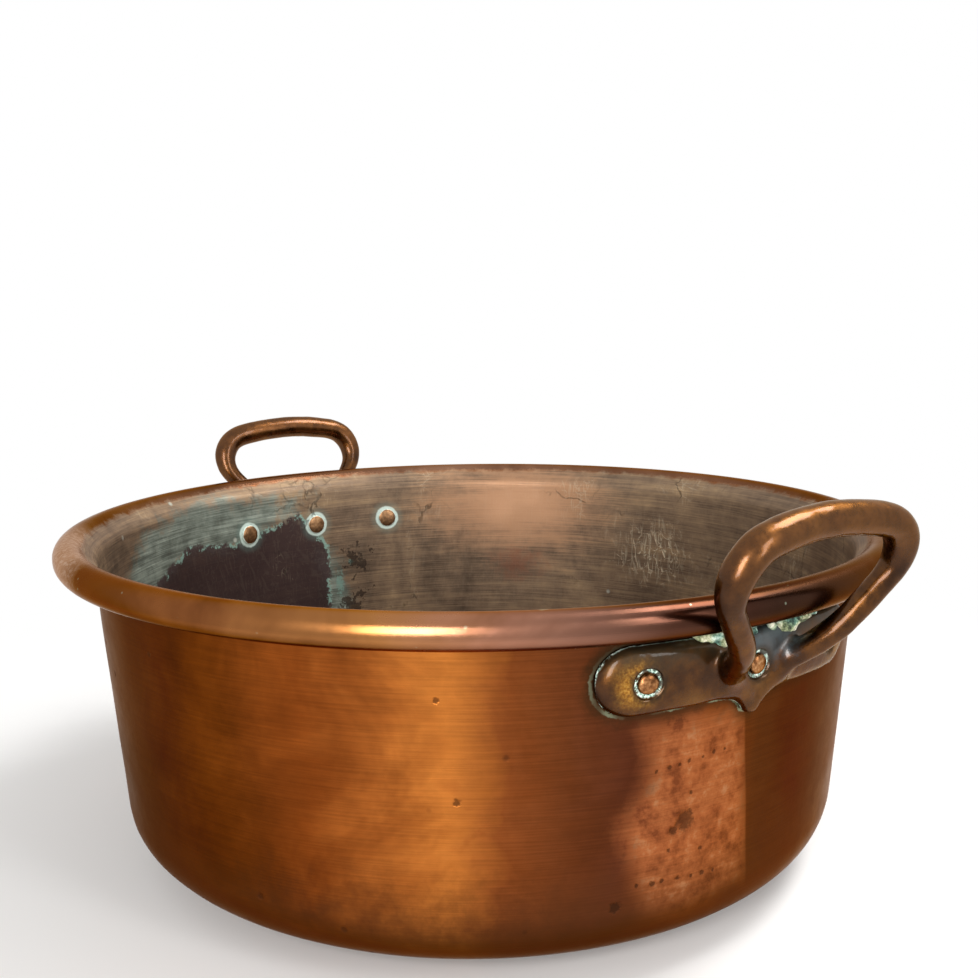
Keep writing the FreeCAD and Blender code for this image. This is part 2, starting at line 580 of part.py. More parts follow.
def make_rivet(label, place, turn):
    """Flat head against the inside of the wall, shank, and domed head on the plate."""
    body = new_body(label)
    sketch = new_sketch(body, "rivet_section", "XZ_Plane")
    inner_head, shank = size("inner_head_diameter") / 2, size("rivet_shank") / 2
    outer_head, dome = size("outer_head_diameter") / 2, size("outer_head_height")
    inside_radius = wall_radius(RIVET_HEIGHT) - SHEET
    bow = inside_radius - math.sqrt(inside_radius ** 2 - inner_head ** 2)
    under = -SHEET - bow - size("seat_clearance")
    seat = size("rivet_seat_height") + size("seat_clearance")
    points = [Vector(0, under - size("inner_head_height"), 0),
              Vector(inner_head, under - size("inner_head_height"), 0),
              Vector(inner_head, under, 0), Vector(shank, under, 0), Vector(shank, seat, 0),
              Vector(outer_head, seat, 0)]
    sides = [line(sketch, start, end) for start, end in zip(points, points[1:])]
    dome_radius = (outer_head ** 2 + dome ** 2) / (2 * dome)
    dome_start = math.degrees(math.asin((dome_radius - dome) / dome_radius))
    cap = arc(sketch, Vector(0, seat + dome - dome_radius, 0), dome_radius, dome_start, 90)
    axis = line(sketch, Vector(0, seat + dome, 0), points[0])
    for before, after in zip(sides, sides[1:]):
        relate(sketch, "Coincident", before, 2, after, 1)
    for joint in [(sides[-1], 2, cap, 1), (cap, 2, axis, 1), (axis, 2, sides[0], 1)]:
        relate(sketch, "Coincident", *joint)
    for level in (sides[0], sides[2], sides[4]):
        relate(sketch, "Horizontal", level)
    for upright in (sides[1], sides[3], axis):
        relate(sketch, "Vertical", upright)
    relate(sketch, "PointOnObject", axis, 1, -2)
    relate(sketch, "PointOnObject", cap, 3, -2)
    bind(sketch, "inner_head", "Sizes.inner_head_diameter / 2", "DistanceX", sides[0], 1, sides[0], 2)
    bind(sketch, "inner_height", "Sizes.inner_head_height", "DistanceY", sides[1], 1, sides[1], 2)
    bind(sketch, "shank", "Sizes.rivet_shank / 2", "DistanceX", -1, 1, sides[3], 1)
    bind(sketch, "outer_head", "Sizes.outer_head_diameter / 2", "DistanceX", -1, 1, sides[4], 2)
    bind(sketch, "dome_height", "Sizes.outer_head_height", "DistanceY", sides[4], 2, cap, 2)
    bind(sketch, "outer_seat", "Sizes.rivet_seat_height + Sizes.seat_clearance", "DistanceY", -1, 1, sides[4], 2)
    inside_rule = f"({WALL_AT_RIVETS_RULE} - Sizes.sheet_thickness)"
    bow_rule = f"({inside_rule} - sqrt({inside_rule} ^ 2 - (Sizes.inner_head_diameter / 2) ^ 2))"
    bind(sketch, "inner_seat", f"Sizes.sheet_thickness + {bow_rule} + Sizes.seat_clearance",
         "DistanceY", sides[2], 2, -1, 1)
    revolve(body, "rivet_form", sketch)
    body.Placement = Placement(Vector(0, 0, 0), Rotation(Vector(0, 0, 1), turn)).multiply(place)
    return body


path = handle_path()
pieces = [make_pan_body(), make_rim_wire()]
for side, turn in (("right", 0), ("left", 180)):
    pieces.append(make_handle(f"handle_{side}", path, turn))
    for number, place in enumerate(RIVET_PLACES, start=1):
        pieces.append(make_rivet(f"{side}_rivet_{number}", place, turn))
doc.recompute()

# Every object and every piece is sound before anything is written
for item in doc.Objects:
    if "Invalid" in item.State or "Error" in item.State:
        raise RuntimeError(f"{item.Label} failed: {item.State}")
    if item.isDerivedFrom("Sketcher::SketchObject"):
        print(item.Label, "fully constrained" if item.FullyConstrained else "not fully constrained")
for piece in pieces:
    shape = piece.Shape
    if shape.isNull() or not shape.isValid() or len(shape.Solids) != 1:
        raise RuntimeError(f"{piece.Label} has no single sound solid")

os.makedirs("parts", exist_ok=True)
for piece in pieces:
    piece.Shape.exportStep(f"parts/{piece.Label}.step")
    box = piece.Shape.BoundBox
    print(f"{piece.Label:16s} {piece.Shape.Volume:12.1f} mm3  x {box.XMin:8.2f} {box.XMax:8.2f}"
          f"  y {box.YMin:8.2f} {box.YMax:8.2f}  z {box.ZMin:7.2f} {box.ZMax:7.2f}")
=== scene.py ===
import math
from functools import partial
from itertools import product

import bpy
import numpy as np
from mathutils import Matrix, Vector


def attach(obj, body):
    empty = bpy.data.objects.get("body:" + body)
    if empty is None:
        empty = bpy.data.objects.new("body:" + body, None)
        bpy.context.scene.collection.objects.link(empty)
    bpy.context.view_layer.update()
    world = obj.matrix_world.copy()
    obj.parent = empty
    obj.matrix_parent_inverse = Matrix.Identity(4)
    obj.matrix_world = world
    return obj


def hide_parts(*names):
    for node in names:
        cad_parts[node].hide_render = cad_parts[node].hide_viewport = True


# Copper jam pan: a raised sheet body with its rim rolled over a wire, two cast bronze loop
# handles, and six hammered copper rivets. Sizes are in millimetres until a mesh is made.

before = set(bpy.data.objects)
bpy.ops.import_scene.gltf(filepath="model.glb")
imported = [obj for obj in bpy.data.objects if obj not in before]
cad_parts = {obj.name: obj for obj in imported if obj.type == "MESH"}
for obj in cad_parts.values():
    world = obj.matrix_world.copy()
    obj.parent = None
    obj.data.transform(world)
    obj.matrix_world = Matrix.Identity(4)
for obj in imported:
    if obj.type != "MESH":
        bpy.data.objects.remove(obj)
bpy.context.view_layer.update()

MM = 0.001

# Sheet body
RIM_RADIUS = 210.0
RIM_TOP = 165.5
SHEET = 2.0
LEAN = math.radians(4.8)  # wall, outward
HEEL, HEEL_TURN, CORNER = 75.0, math.radians(35), 30.0  # two radii of the bottom corner
CURL_IN = 5.25  # radius of the roll's inner face
CURL_OUT = CURL_IN + SHEET
CURL_SWEEP = math.radians(290)
WIRE = np.array([RIM_RADIUS - CURL_OUT, RIM_TOP - CURL_OUT])
WALL_OFFSET = 10.5  # wall's outer face inside the wire, level with it
NECK = 8.0  # bend from the wall to the flare
FLARE = math.radians(45)
RIM_SLACK = 0.08  # keeps the mesh inside the solid's size
PAN_STEPS = 360
WALL_ARC = 190.0  # mean wall radius: turns degrees into millimetres

# Handles and rivets
RIVET_HEIGHT = RIM_TOP - 33.0
RIVET_SPACING = 50.5
RIVET_PLACES = (-1, 0, 1)
OTHER_SIDE = np.array([-1, -1, 1])  # turns a piece to the left handle
LOBE_ACROSS = RIVET_SPACING + 5.5
LOBE = 14.0
WAIST = RIVET_HEIGHT - LOBE + 1.0
HOLLOW, HOLLOW_ACROSS = 12.0, 13.0
CUSP_BOTTOM = 111.8
PATH_SPACING = 1.5
HANDLE_BOX, HANDLE_STEP = ((178.0, -74.0, 108.0), (237.0, 74.0, 204.0)), 0.8
CRUST_BOX, CRUST_STEP = ((184.0, -38.0, 134.0), (216.0, 38.0, 164.0)), 0.7
RIVET_SEAT = 4.55  # off the wall
RIVET_STEPS = 48

# The ridge over the cusp: across, height from the rivets, off the wall
RIDGE = [(14.0, -3.0, 3.2), (6.5, -10.0, 3.0), (0.8, -17.5, 2.4)]
# Rivet heads as radius and height, from the inside of the wall and from the seat on the plate
HEAD_INSIDE = [(0, -1.45), (2.0, -1.42), (3.8, -1.3), (5.0, -1.1), (5.65, -0.8), (5.95, -0.45),
               (5.95, -0.1), (5.75, 0), (3.1, 0), (3.0, 0.3)]
HEAD_OUTSIDE = [(3.0, -0.1), (3.3, 0), (4.0, 0), (4.25, 0.25), (4.25, 0.6), (4.0, 1.1), (3.4, 1.6),
                (2.5, 1.95), (1.3, 2.12), (0, 2.15)]
# Lumps of verdigris: across, height, off the wall, radius
CRUST_LUMPS = [
    (-24, 149, 3.0, 3.8), (-18, 147.5, 4.4, 4.0), (-29, 149.5, 2.6, 3.0), (-13, 146, 5.0, 3.6),
    (-35, 150, 2.0, 2.2), (-9, 144.5, 4.6, 2.6), (13, 147, 4.6, 3.4), (18, 148.5, 5.0, 4.0),
    (24, 149.5, 5.0, 4.2), (30, 150, 4.2, 3.6), (36, 150.5, 2.8, 2.6), (7, 146, 3.6, 2.4),
    (-2, 146, 2.8, 2.0)]

# Outlines of marks on the pan: degrees round it, and height
DARK_PLUM_AREA = [(200, 60), (222, 118), (211, 133), (198, 128), (188, 136), (183.4, 141), (181.6, 133),
              (177.7, 119), (178, 60)]
VERDIGRIS_HAZE = [(172, 62), (176, 104), (181, 128), (183, 147), (176, 156), (206, 157), (224, 150),
                  (236, 120), (222, 112), (214, 128), (200, 124), (190, 132), (184, 134), (181, 122),
                  (179, 90), (178.5, 62)]
# The bright patch outside is partly a painted reflection of a vertical light band and partly rubbed copper
PATCH_WITH_PAINTED_REFLECTION = [(-15.5, 44), (-17, 70), (-13, 92), (-15, 112), (0.3, 116), (1.3, 90), (3.5, 32),
                (-6, 24), (-13, 30)]
# Soft marks inside the pan: degrees round it, height, half width and half height. The first is a painted
# reflection: a light copper glow on the wall inside
SOFT_MARKS = {"painted_warm_reflection": [(138, 138, 75, 42)], "red": [(137, 100, 34, 24)], "scuffed": [(107, 112, 42, 32)],
              "growth": [(171.5, 105, 12, 11), (173, 78, 14, 12)],
              "streak": [(175.5, 91, 5, 15), (172.8, 104.8, 3.5, 4)]}
# Every mark that a material reads
PAN_MARKS = ("along_section", "past_roll", "plum", "haze", "patch", "plate", *SOFT_MARKS)
HANDLE_MARKS = ("rise", "lobe", "rivet_gap", "wall_gap", "roll_gap")

CORNERS = [np.array(corner) for corner in product((0, 1), repeat=3)]
# What most nodes of a kind are set to, and the output that is taken where it isn't the first
USUAL = {"MapRange": {"interpolation_type": "SMOOTHSTEP"}, "Mix": {"data_type": "RGBA"}}
OUTPUT = {"Mix": 2, "Attribute": "Fac", "TexCoord": "Object"}


def colour(hex_code):
    """sRGB hex to the linear colour that the shader works in."""
    parts = [int(hex_code[i:i + 2], 16) / 255 for i in (1, 3, 5)]
    return tuple(p / 12.92 if p <= 0.04045 else ((p + 0.055) / 1.055) ** 2.4 for p in parts) + (1.0,)


def add_node(tree, kind, inputs=(), out=None, stops={}, **settings):
    """Adds one node, such as "TexNoise" or "Math.ADD", with its settings, ramp stops and inputs (values
    or other sockets), and gives one of its outputs."""
    kind, _, operation = kind.partition(".")
    node = tree.nodes.new("ShaderNode" + kind)
    if operation:
        node.operation = operation
    for name, value in {**USUAL.get(kind, {}), **settings}.items():
        setattr(node, name, value)
    for number, (place, code) in enumerate(stops.items()):
        elements = node.color_ramp.elements
        element = elements[number] if number < len(elements) else elements.new(place)
        element.position, element.color = place, colour(code)
    for name, value in inputs.items() if isinstance(inputs, dict) else enumerate(inputs):
        if isinstance(value, bpy.types.NodeSocket):
            tree.links.new(value, node.inputs[name])
        else:
            node.inputs[name].default_value = value
    if node.outputs:
        return node.outputs[OUTPUT.get(kind, 0) if out is None else out]


def new_object(name, data):
    """Object at the origin, linked into the scene."""
    made = bpy.data.objects.new(name, data)
    bpy.context.scene.collection.objects.link(made)
    return made


def make_mesh(name, points, faces, material, marks):
    """Mesh object with smooth faces and one float attribute for each mark."""
    mesh = bpy.data.meshes.new(name)
    mesh.from_pydata((points * MM).tolist(), [], faces)
    mesh.shade_smooth()
    for key, values in marks.items():
        layer = mesh.attributes.new(key, "FLOAT", "POINT")
        layer.data.foreach_set("value", np.asarray(values, np.float32))
    mesh.materials.append(material)
    mesh.validate()
    mesh.update()
    return new_object(name, mesh)


def value_noise(points, seed):
    """Smooth noise in -1..1 at points, one cell per unit."""
    cells = np.floor(points).astype(np.int64)
    part = points - cells
    ease = part * part * part * (part * (part * 6 - 15) + 10)
    total = np.zeros(len(points))
    for corner in CORNERS:
        at = cells + corner
        mixed = (at[:, 0] * 73856093) ^ (at[:, 1] * 19349663) ^ (at[:, 2] * 83492791) ^ (seed * 2654435761)
        mixed = (mixed ^ (mixed >> 13)) * 1274126177 & 0x7FFFFFFF
        mixed = (mixed ^ (mixed >> 16)) * 668265263 & 0x7FFFFFFF
        weight = np.prod(np.where(corner, ease, 1 - ease), axis=1)
        total += weight * ((mixed & 0xFFFF) / 32767.5 - 1)
    return total


def wall_radius(height):
    """Radius of the wall's outer face at a height."""
    return WIRE[0] - WALL_OFFSET + (height - WIRE[1]) * math.tan(LEAN)


def off_wall(points):
    """Distance of points from the wall's outer face, square to it."""
    return (np.hypot(points[..., 0], points[..., 1]) - wall_radius(points[..., 2])) * math.cos(LEAN)


def off_roll(points):
    """Distance of points from the roll's outer face."""
    across = np.hypot(points[..., 0], points[..., 1]) - WIRE[0]
    return np.hypot(across, points[..., 2] - WIRE[1]) - CURL_OUT


def wall_point(across, height, off):
    """Point off the wall's outer face by a distance square to it."""
    turn = math.asin(across / wall_radius(height))
    outward = np.array([math.cos(turn) * math.cos(LEAN), math.sin(turn) * math.cos(LEAN), -math.sin(LEAN)])
    foot = np.array([math.cos(turn) * wall_radius(height), across, height])
    return foot + outward * off


def rivet_axis(place):
    """Where a rivet crosses the wall's outer face, and its direction outward."""
    centre, above = (wall_point(place * RIVET_SPACING, RIVET_HEIGHT, off) for off in (0, 1))
    return centre, above - centre


def arc_points(centre, radius, first, last, count):
    """Points in the section along an arc."""
    angles = np.linspace(first, last, count)
    return np.stack([centre[0] + radius * np.cos(angles), centre[1] + radius * np.sin(angles)], axis=1)


def run_points(start, end, count):
    """Points along a straight run."""
    return np.asarray(start) + np.linspace(0, 1, count)[:, None] * (np.asarray(end) - np.asarray(start))


def spaced_run(start, end):
    """Points along a straight run, spaced as every path is."""
    return run_points(start, end, max(2, int(np.linalg.norm(end - start) / PATH_SPACING)))


def turned(values, steps):
    """Values along a profile, repeated for every point of its ring, and single on the axis."""
    return np.concatenate([values[:1], np.repeat(values[1:-1], steps), values[-1:]])


def turned_rings(profile, steps):
    """Radius, height and turn of every point of a turned skin but the two on its axis."""
    turns = np.linspace(0, 2 * math.pi, steps, endpoint=False)
    return *(np.repeat(values, steps) for values in profile[1:-1].T), np.tile(turns, len(profile) - 2)


def capped(points, profile):
    """The same points with the two on the axis."""
    return np.concatenate([[[0, 0, profile[0][1]]], points, [[0, 0, profile[-1][1]]]])


def turned_faces(profile, steps):
    """Faces of a turned skin: quads between its rings, and a fan to the point at each end."""
    index = 1 + np.arange((len(profile) - 2) * steps).reshape(-1, steps)
    after = np.roll(index, -1, axis=1)
    quads = np.stack([index[:-1], after[:-1], after[1:], index[1:]], axis=-1).reshape(-1, 4)
    fans = [np.stack([0 * index[0], after[0], index[0]], axis=1),
            np.stack([0 * index[0] + index[-1, -1] + 1, index[-1], after[-1]], axis=1)]
    return quads.tolist() + np.concatenate(fans).tolist()


def sheet_section():
    """Closed section from the axis out under the base, up the wall, round the wire and back inside.
    Gives its points, the length so far, and how far each lies past the end of the roll."""
    corner_height = HEEL - (HEEL - CORNER) * math.cos(HEEL_TURN)
    corner_top = corner_height - CORNER * math.sin(LEAN)
    corner = np.array([wall_radius(corner_top) - CORNER * math.cos(LEAN), corner_height])
    heel = np.array([corner[0] - (HEEL - CORNER) * math.sin(HEEL_TURN), HEEL])
    up = np.array([math.sin(LEAN), math.cos(LEAN)])
    out = np.array([math.cos(LEAN), -math.sin(LEAN)])
    flare_up = np.array([math.sin(FLARE), math.cos(FLARE)])
    flare_in = np.array([-math.cos(FLARE), math.sin(FLARE)])
    wall_side = np.array([wall_radius(WIRE[1]), WIRE[1]]) + out * NECK
    gap = WIRE + flare_in * (CURL_IN - NECK) - wall_side
    along = (gap[0] * flare_up[1] - gap[1] * flare_up[0]) / (up[0] * flare_up[1] - up[1] * flare_up[0])
    neck = wall_side + up * along
    facing = math.pi - FLARE
    heel_end = HEEL_TURN - math.pi / 2
    parts = [
        run_points((0, 0), (heel[0], 0), 16),
        arc_points(heel, HEEL, -math.pi / 2, heel_end, 14),
        arc_points(corner, CORNER, heel_end, -LEAN, 20),
        run_points(corner + out * CORNER, neck - out * NECK, 38),
        arc_points(neck, NECK, math.pi - LEAN, facing, 6),
        run_points(neck + flare_in * NECK, WIRE + flare_in * CURL_IN, 3),
        arc_points(WIRE, CURL_IN, facing, facing - CURL_SWEEP, 14),
        arc_points(WIRE, CURL_OUT, facing - CURL_SWEEP, facing, 34),
        run_points(WIRE + flare_in * CURL_OUT, neck + flare_in * (NECK + SHEET), 3),
        arc_points(neck, NECK + SHEET, facing, math.pi - LEAN, 7),
        run_points(neck - out * (NECK + SHEET), corner + out * (CORNER - SHEET), 38),
        arc_points(corner, CORNER - SHEET, -LEAN, heel_end, 19),
        arc_points(heel, HEEL - SHEET, heel_end, -math.pi / 2, 14),
        run_points((heel[0], SHEET), (0, SHEET), 16),
    ]
    past_flare = 9
    points, groups = [], []
    for group, part in enumerate(parts):
        for point in part:
            if not points or np.hypot(*(points[-1] - point)) > 1e-6:
                points.append(point)
                groups.append(group)
    length = np.concatenate([[0], np.cumsum(np.hypot(*np.diff(points, axis=0).T))])
    return np.array(points), length, length - length[groups.index(past_flare)]


def outline_distance(across, up, outline):
    """Distance along the wall to a closed outline, negative inside it."""
    points = np.stack([across, up], axis=1)
    corners = np.array([(math.radians(turn) * WALL_ARC, height) for turn, height in outline])
    best = np.full(len(points), 1e9)
    inside = np.zeros(len(points), bool)
    for start, end in zip(corners, np.roll(corners, -1, axis=0)):
        edge = end - start
        share = np.clip(((points - start) @ edge) / (edge @ edge), 0, 1)
        best = np.minimum(best, np.hypot(*(points - start - share[:, None] * edge).T))
        crosses = (start[1] > points[:, 1]) != (end[1] > points[:, 1])
        with np.errstate(divide="ignore", invalid="ignore"):
            reach = start[0] + (points[:, 1] - start[1]) * edge[0] / edge[1]
        inside ^= crosses & (points[:, 0] < reach)
    return np.where(inside, -best, best)


def blobs(across, up, spots):
    """Soft round marks: 1 in the middle of each and 0 at its edge."""
    gaps = [np.hypot((across - math.radians(turn) * WALL_ARC) / half_across, (up - height) / half_up)
            for turn, height, half_across, half_up in spots]
    return np.clip(1 - np.min(gaps, axis=0), -1, 1)


def make_pan_body(material):
    """The whole sheet as one turned skin, as uneven as hand raising leaves it."""
    section, length, past_roll = sheet_section()
    radius, height, turn = turned_rings(section, PAN_STEPS)
    # Waves 60 and 24 mm long, but none where the handles seat or on the rim and base
    flat = np.stack([np.cos(turn) * WALL_ARC, np.sin(turn) * WALL_ARC, height], axis=1)
    uneven = 0.45 * value_noise(flat / 60, 3) + 0.22 * value_noise(flat / 24, 4)
    near_handle = np.exp(-(flat[:, 1] / 95) ** 4) * np.exp(-((height - 140) / 34) ** 4)
    below_rim = 1 - np.clip((height - 140) / 14, 0, 1)
    on_wall = np.clip((height - 8) / 20, 0, 1)
    radius = radius + uneven * (1 - near_handle) * below_rim * on_wall
    # The base lifts by up to 0.3 mm in places
    lift = 0.3 * value_noise(np.stack([np.cos(turn), np.sin(turn), radius / 45], axis=1) * 2, 9)
    height = height + np.clip(lift, 0, 1) * (1 - on_wall)
    radius = np.minimum(radius, RIM_RADIUS - RIM_SLACK)
    points = np.stack([radius * np.cos(turn), radius * np.sin(turn), height], axis=1)
    points = capped(points, section)
    up = points[:, 2]
    degrees = np.degrees(np.arctan2(points[:, 1], points[:, 0]))
    # Marks inside count from 0 to 360 degrees, and those outside from -180 to 180
    inside, outside = (np.radians(angles) * WALL_ARC for angles in (degrees % 360, degrees))
    marks = {
        "along_section": turned(length, PAN_STEPS),
        "past_roll": turned(past_roll, PAN_STEPS),
        "plum": outline_distance(inside, up, DARK_PLUM_AREA),
        "haze": outline_distance(inside, up, VERDIGRIS_HAZE),
        "patch": outline_distance(outside, up, PATCH_WITH_PAINTED_REFLECTION),
        "plate": plate_outline(points[:, 1], up),
        **{key: blobs(inside, up, spots) for key, spots in SOFT_MARKS.items()},
    }
    piece = make_mesh("raised_copper_pan", points, turned_faces(section, PAN_STEPS), material, marks)
    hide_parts("pan_body")
    return piece


def smooth_union(first, second, blend):
    """Joins two distance fields with a rounded corner between them."""
    share = np.clip(0.5 + 0.5 * (second - first) / blend, 0, 1)
    return second + (first - second) * share - blend * share * (1 - share)


def smooth_cut(first, second, blend):
    """Keeps what is inside both, with a rounded edge between them."""
    return -smooth_union(-first, -second, blend)


def bar_distance(grid, path, radii):
    """Distance to a round bar along a path of points, worked out only within 20 mm of it."""
    reach, group = 20, 12
    result = np.full(grid.shape[:3], 30.0)
    origin, step = grid[0, 0, 0], grid[1, 0, 0][0] - grid[0, 0, 0][0]
    for start in range(0, len(path) - 1, group):
        some, thick = path[start:start + group + 1], radii[start:start + group + 1]
        low = np.maximum(((some.min(0) - reach - origin) / step).astype(int), 0)
        high = np.minimum(((some.max(0) + reach - origin) / step).astype(int) + 1, grid.shape[:3])
        if (high <= low).any():
            continue
        window = tuple(slice(a, b) for a, b in zip(low, high))
        near, best = grid[window], result[window]
        for a, b, radius, next_radius in zip(some[:-1], some[1:], thick[:-1], thick[1:]):
            edge = b - a
            share = np.clip(((near - a) @ edge) / (edge @ edge), 0, 1)
            far = np.sqrt(((near - a - share[..., None] * edge) ** 2).sum(-1))
            best = np.minimum(best, far - (radius + (next_radius - radius) * share))
        result[window] = best
    return result


def rounded_path(corners, bends):
    """Points along straight runs joined by arcs."""
    pieces = []
    last = corners[0]
    for before, corner, after, bend in zip(corners, corners[1:], corners[2:], bends):
        back = (before - corner) / np.linalg.norm(before - corner)
        on = (after - corner) / np.linalg.norm(after - corner)
        half = math.acos(np.clip(back @ on, -1, 1)) / 2
        reach = bend / math.tan(half)
        start, end = corner + back * reach, corner + on * reach
        centre = corner + (back + on) / np.linalg.norm(back + on) * bend / math.sin(half)
        sweep = math.pi - 2 * half
        turns = np.linspace(0, sweep, max(3, int(bend * sweep / PATH_SPACING)))[:, None]
        pieces.append(spaced_run(last, start))
        pieces.append(centre + bend * (np.cos(turns) * ((start - centre) / bend) - np.sin(turns) * back))
        last = end
    pieces.append(spaced_run(last, corners[-1]))
    return np.concatenate([part[:-1] for part in pieces[:-1]] + [pieces[-1]])


def eased(points, passes):
    """Softens a path as a bent casting is soft, with its ends held."""
    for _ in range(passes):
        middle = (points[:-2] + 2 * points[1:-1] + points[2:]) / 4
        points = np.concatenate([points[:1], middle, points[-1:]])
    return points


def loop_path():
    """Middle of the loop: a leg out of the plate, past the roll and up to the shoulder, the grip and
    the other leg. Each bend radius belongs to the corner between its runs."""
    foot_height = RIVET_HEIGHT - 12.0
    leg = [
        np.array([wall_radius(foot_height) - 5.3, 9.2, foot_height]),
        np.array([RIM_RADIUS + 2.2, 26.7, RIM_TOP - 19.5]),
        np.array([RIM_RADIUS + 19.4, 61.5, RIM_TOP + 20.9]),
    ]
    grip = np.array([RIM_RADIUS + 16.6, 0.0, RIM_TOP + 30.8])
    corners = leg + [grip] + [point * np.array([1, -1, 1]) for point in leg[::-1]]
    return eased(rounded_path(corners, [40, 17, 150, 17, 40]), 10)


def loop_radii(path):
    """Thick and round at the grip, slim in the legs, and slimmer where the leg runs into the plate."""
    up = np.clip((path[:, 2] - (RIM_TOP - 5)) / 24, 0, 1)
    foot = np.clip((RIM_TOP - 26 - path[:, 2]) / 14, 0, 1)
    return 5.15 + 1.7 * (up * up * (3 - 2 * up)) - 0.9 * foot


def plate_outline(across, height):
    """Distance to the plate's edge: two round lobes, a waist and a pointed cusp between two hollows."""
    side = np.abs(across)
    lobe = np.hypot(side - LOBE_ACROSS, height - RIVET_HEIGHT) - LOBE
    fall = 1.0 / (LOBE_ACROSS - HOLLOW_ACROSS)
    band = np.maximum.reduce([side - LOBE_ACROSS, height - (RIVET_HEIGHT + LOBE),
                              WAIST - height - (side - HOLLOW_ACROSS) * fall])
    hollow = HOLLOW - np.hypot(side - HOLLOW_ACROSS, height - (WAIST - HOLLOW))
    cusp = np.maximum.reduce([side - HOLLOW_ACROSS, hollow, CUSP_BOTTOM - height, height - RIVET_HEIGHT])
    return np.minimum.reduce([lobe, band, cusp])


def plate_distance(across, height, off):
    """The plate itself: 6 mm thick in its middle, and crowned like a pillow."""
    crown = 4.3 + 1.7 * (1 - ((height - RIVET_HEIGHT) / 22) ** 2)
    crown = crown - 0.9 * np.clip((np.abs(across) - 44) / 26, 0, 1) ** 2
    return smooth_cut(plate_outline(across, height), off - crown, 5.0)


def box_grid(box, step):
    """Points of a grid that fills a box."""
    axes = [np.arange(low, high + step, step) for low, high in zip(*box)]
    return np.stack(np.meshgrid(*axes, indexing="ij"), axis=-1)


def lumps(grid, field, reach, seed, layers):
    """Lumps near a surface. Each layer has a height and a width."""
    near = np.abs(field) < reach
    total = np.zeros(field.shape)
    total[near] = sum(high * value_noise(grid[near] / wide, seed + number)
                      for number, (high, wide) in enumerate(layers))
    return total


def grid_mesh(field, origin, step):
    """Surface nets: one point in each cell that the zero level crosses, then moved onto that level."""
    inside = field < 0
    cell_count = np.array(field.shape) - 1
    count = sum(inside[tuple(slice(a, a + n) for a, n in zip(corner, cell_count))].astype(int)
                for corner in CORNERS)
    crossed = (count > 0) & (count < 8)
    cells = np.argwhere(crossed)
    number = np.full(crossed.shape, -1)
    number[tuple(cells.T)] = np.arange(len(cells))
    total, hits = np.zeros((len(cells), 3)), np.zeros(len(cells))
    for axis, a, b in product(range(3), (0, 1), (0, 1)):
        low, high = (np.insert(np.array([a, b]), axis, end) for end in (0, 1))
        one, two = field[tuple((cells + low).T)], field[tuple((cells + high).T)]
        cross = (one < 0) != (two < 0)
        share = np.where(cross, one / np.where(cross, one - two, 1), 0)
        total += (low + share[:, None] * (high - low)) * cross[:, None]
        hits += cross
    points = cells + total / hits[:, None]
    faces = []
    for axis in range(3):
        ends = [slice(1, -1)] * 3
        ends[axis] = slice(0, -1)
        low = inside[tuple(ends)]
        ends[axis] = slice(1, None)
        edges = np.argwhere(low != inside[tuple(ends)])
        first, second = np.delete(np.eye(3, dtype=int), axis, axis=0)
        at = edges + first + second
        quad = np.stack([number[tuple((at - back).T)]
                         for back in (first + second, second, 0 * first, first)], axis=1)
        outward = low[tuple(edges.T)] != (axis == 1)
        faces.append(np.where(outward[:, None], quad, quad[:, ::-1]))
    # Newton steps on the sampled field
    gradient = np.stack(np.gradient(field), axis=-1)
    for _ in range(3):
        cell = np.clip(np.floor(points).astype(int), 0, cell_count - 1)
        part = points - cell
        level, slope = np.zeros(len(points)), np.zeros((len(points), 3))
        for corner in CORNERS:
            weight = np.prod(np.where(corner, part, 1 - part), axis=1)
            at = tuple((cell + corner).T)
            level += weight * field[at]
            slope += weight[:, None] * gradient[at]
        move = slope * (level / np.maximum((slope ** 2).sum(1), 1e-6))[:, None]
        far = np.linalg.norm(move, axis=1, keepdims=True)
        points = points - move * np.minimum(1, 0.4 / np.maximum(far, 1e-9))
    return origin + points * step, np.concatenate(faces).tolist()


def make_handle(name, node, way, seed, material):
    """Cast loop and plate in one, cut round each rivet and lumpy as a sand casting is."""
    grid = box_grid(HANDLE_BOX, HANDLE_STEP)
    off = off_wall(grid)
    path = loop_path()
    bar = bar_distance(grid, path, loop_radii(path))
    field = smooth_union(plate_distance(grid[..., 1], grid[..., 2], off), bar, 5.5)
    for side in (-1, 1):
        ridge = [wall_point(side * across, RIVET_HEIGHT + rise, lift) for across, rise, lift in RIDGE]
        runs = [spaced_run(start, end)[:-1] for start, end in zip(ridge, ridge[1:])]
        ridge = eased(np.concatenate([*runs, ridge[-1:]]), 2)
        field = smooth_union(field, bar_distance(grid, ridge, np.linspace(4.6, 2.4, len(ridge))), 3.0)
    for place in RIVET_PLACES:
        centre, outward = rivet_axis(place)
        rel = grid - centre
        lift = rel @ outward
        ring = np.sqrt(np.maximum((rel ** 2).sum(-1) - lift ** 2, 0))
        seat = np.maximum(ring - 6.1, 4.45 - lift)
        field = smooth_cut(field, -seat, 1.2)
    field = np.maximum(field, 0.15 - off)
    field = field + lumps(grid, field, 3, seed, [(0.16, 9), (0.07, 4)]) * (off > 1.5)
    points, faces = grid_mesh(field, grid[0, 0, 0], HANDLE_STEP)
    side, up = np.abs(points[:, 1]), points[:, 2]
    rivets = [wall_point(place * RIVET_SPACING, RIVET_HEIGHT, 4.5) for place in RIVET_PLACES]
    marks = {
        "rise": np.clip((up - 150) / 40, 0, 1),
        "lobe": 1 - np.hypot((side - LOBE_ACROSS) / 17, (up - RIVET_HEIGHT) / 17),
        "rivet_gap": np.min([np.linalg.norm(points - rivet, axis=1) for rivet in rivets], axis=0),
        "wall_gap": off_wall(points),
        "roll_gap": off_roll(points),
    }
    piece = make_mesh(name, points * way, faces, material, marks)
    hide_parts(node)
    return piece


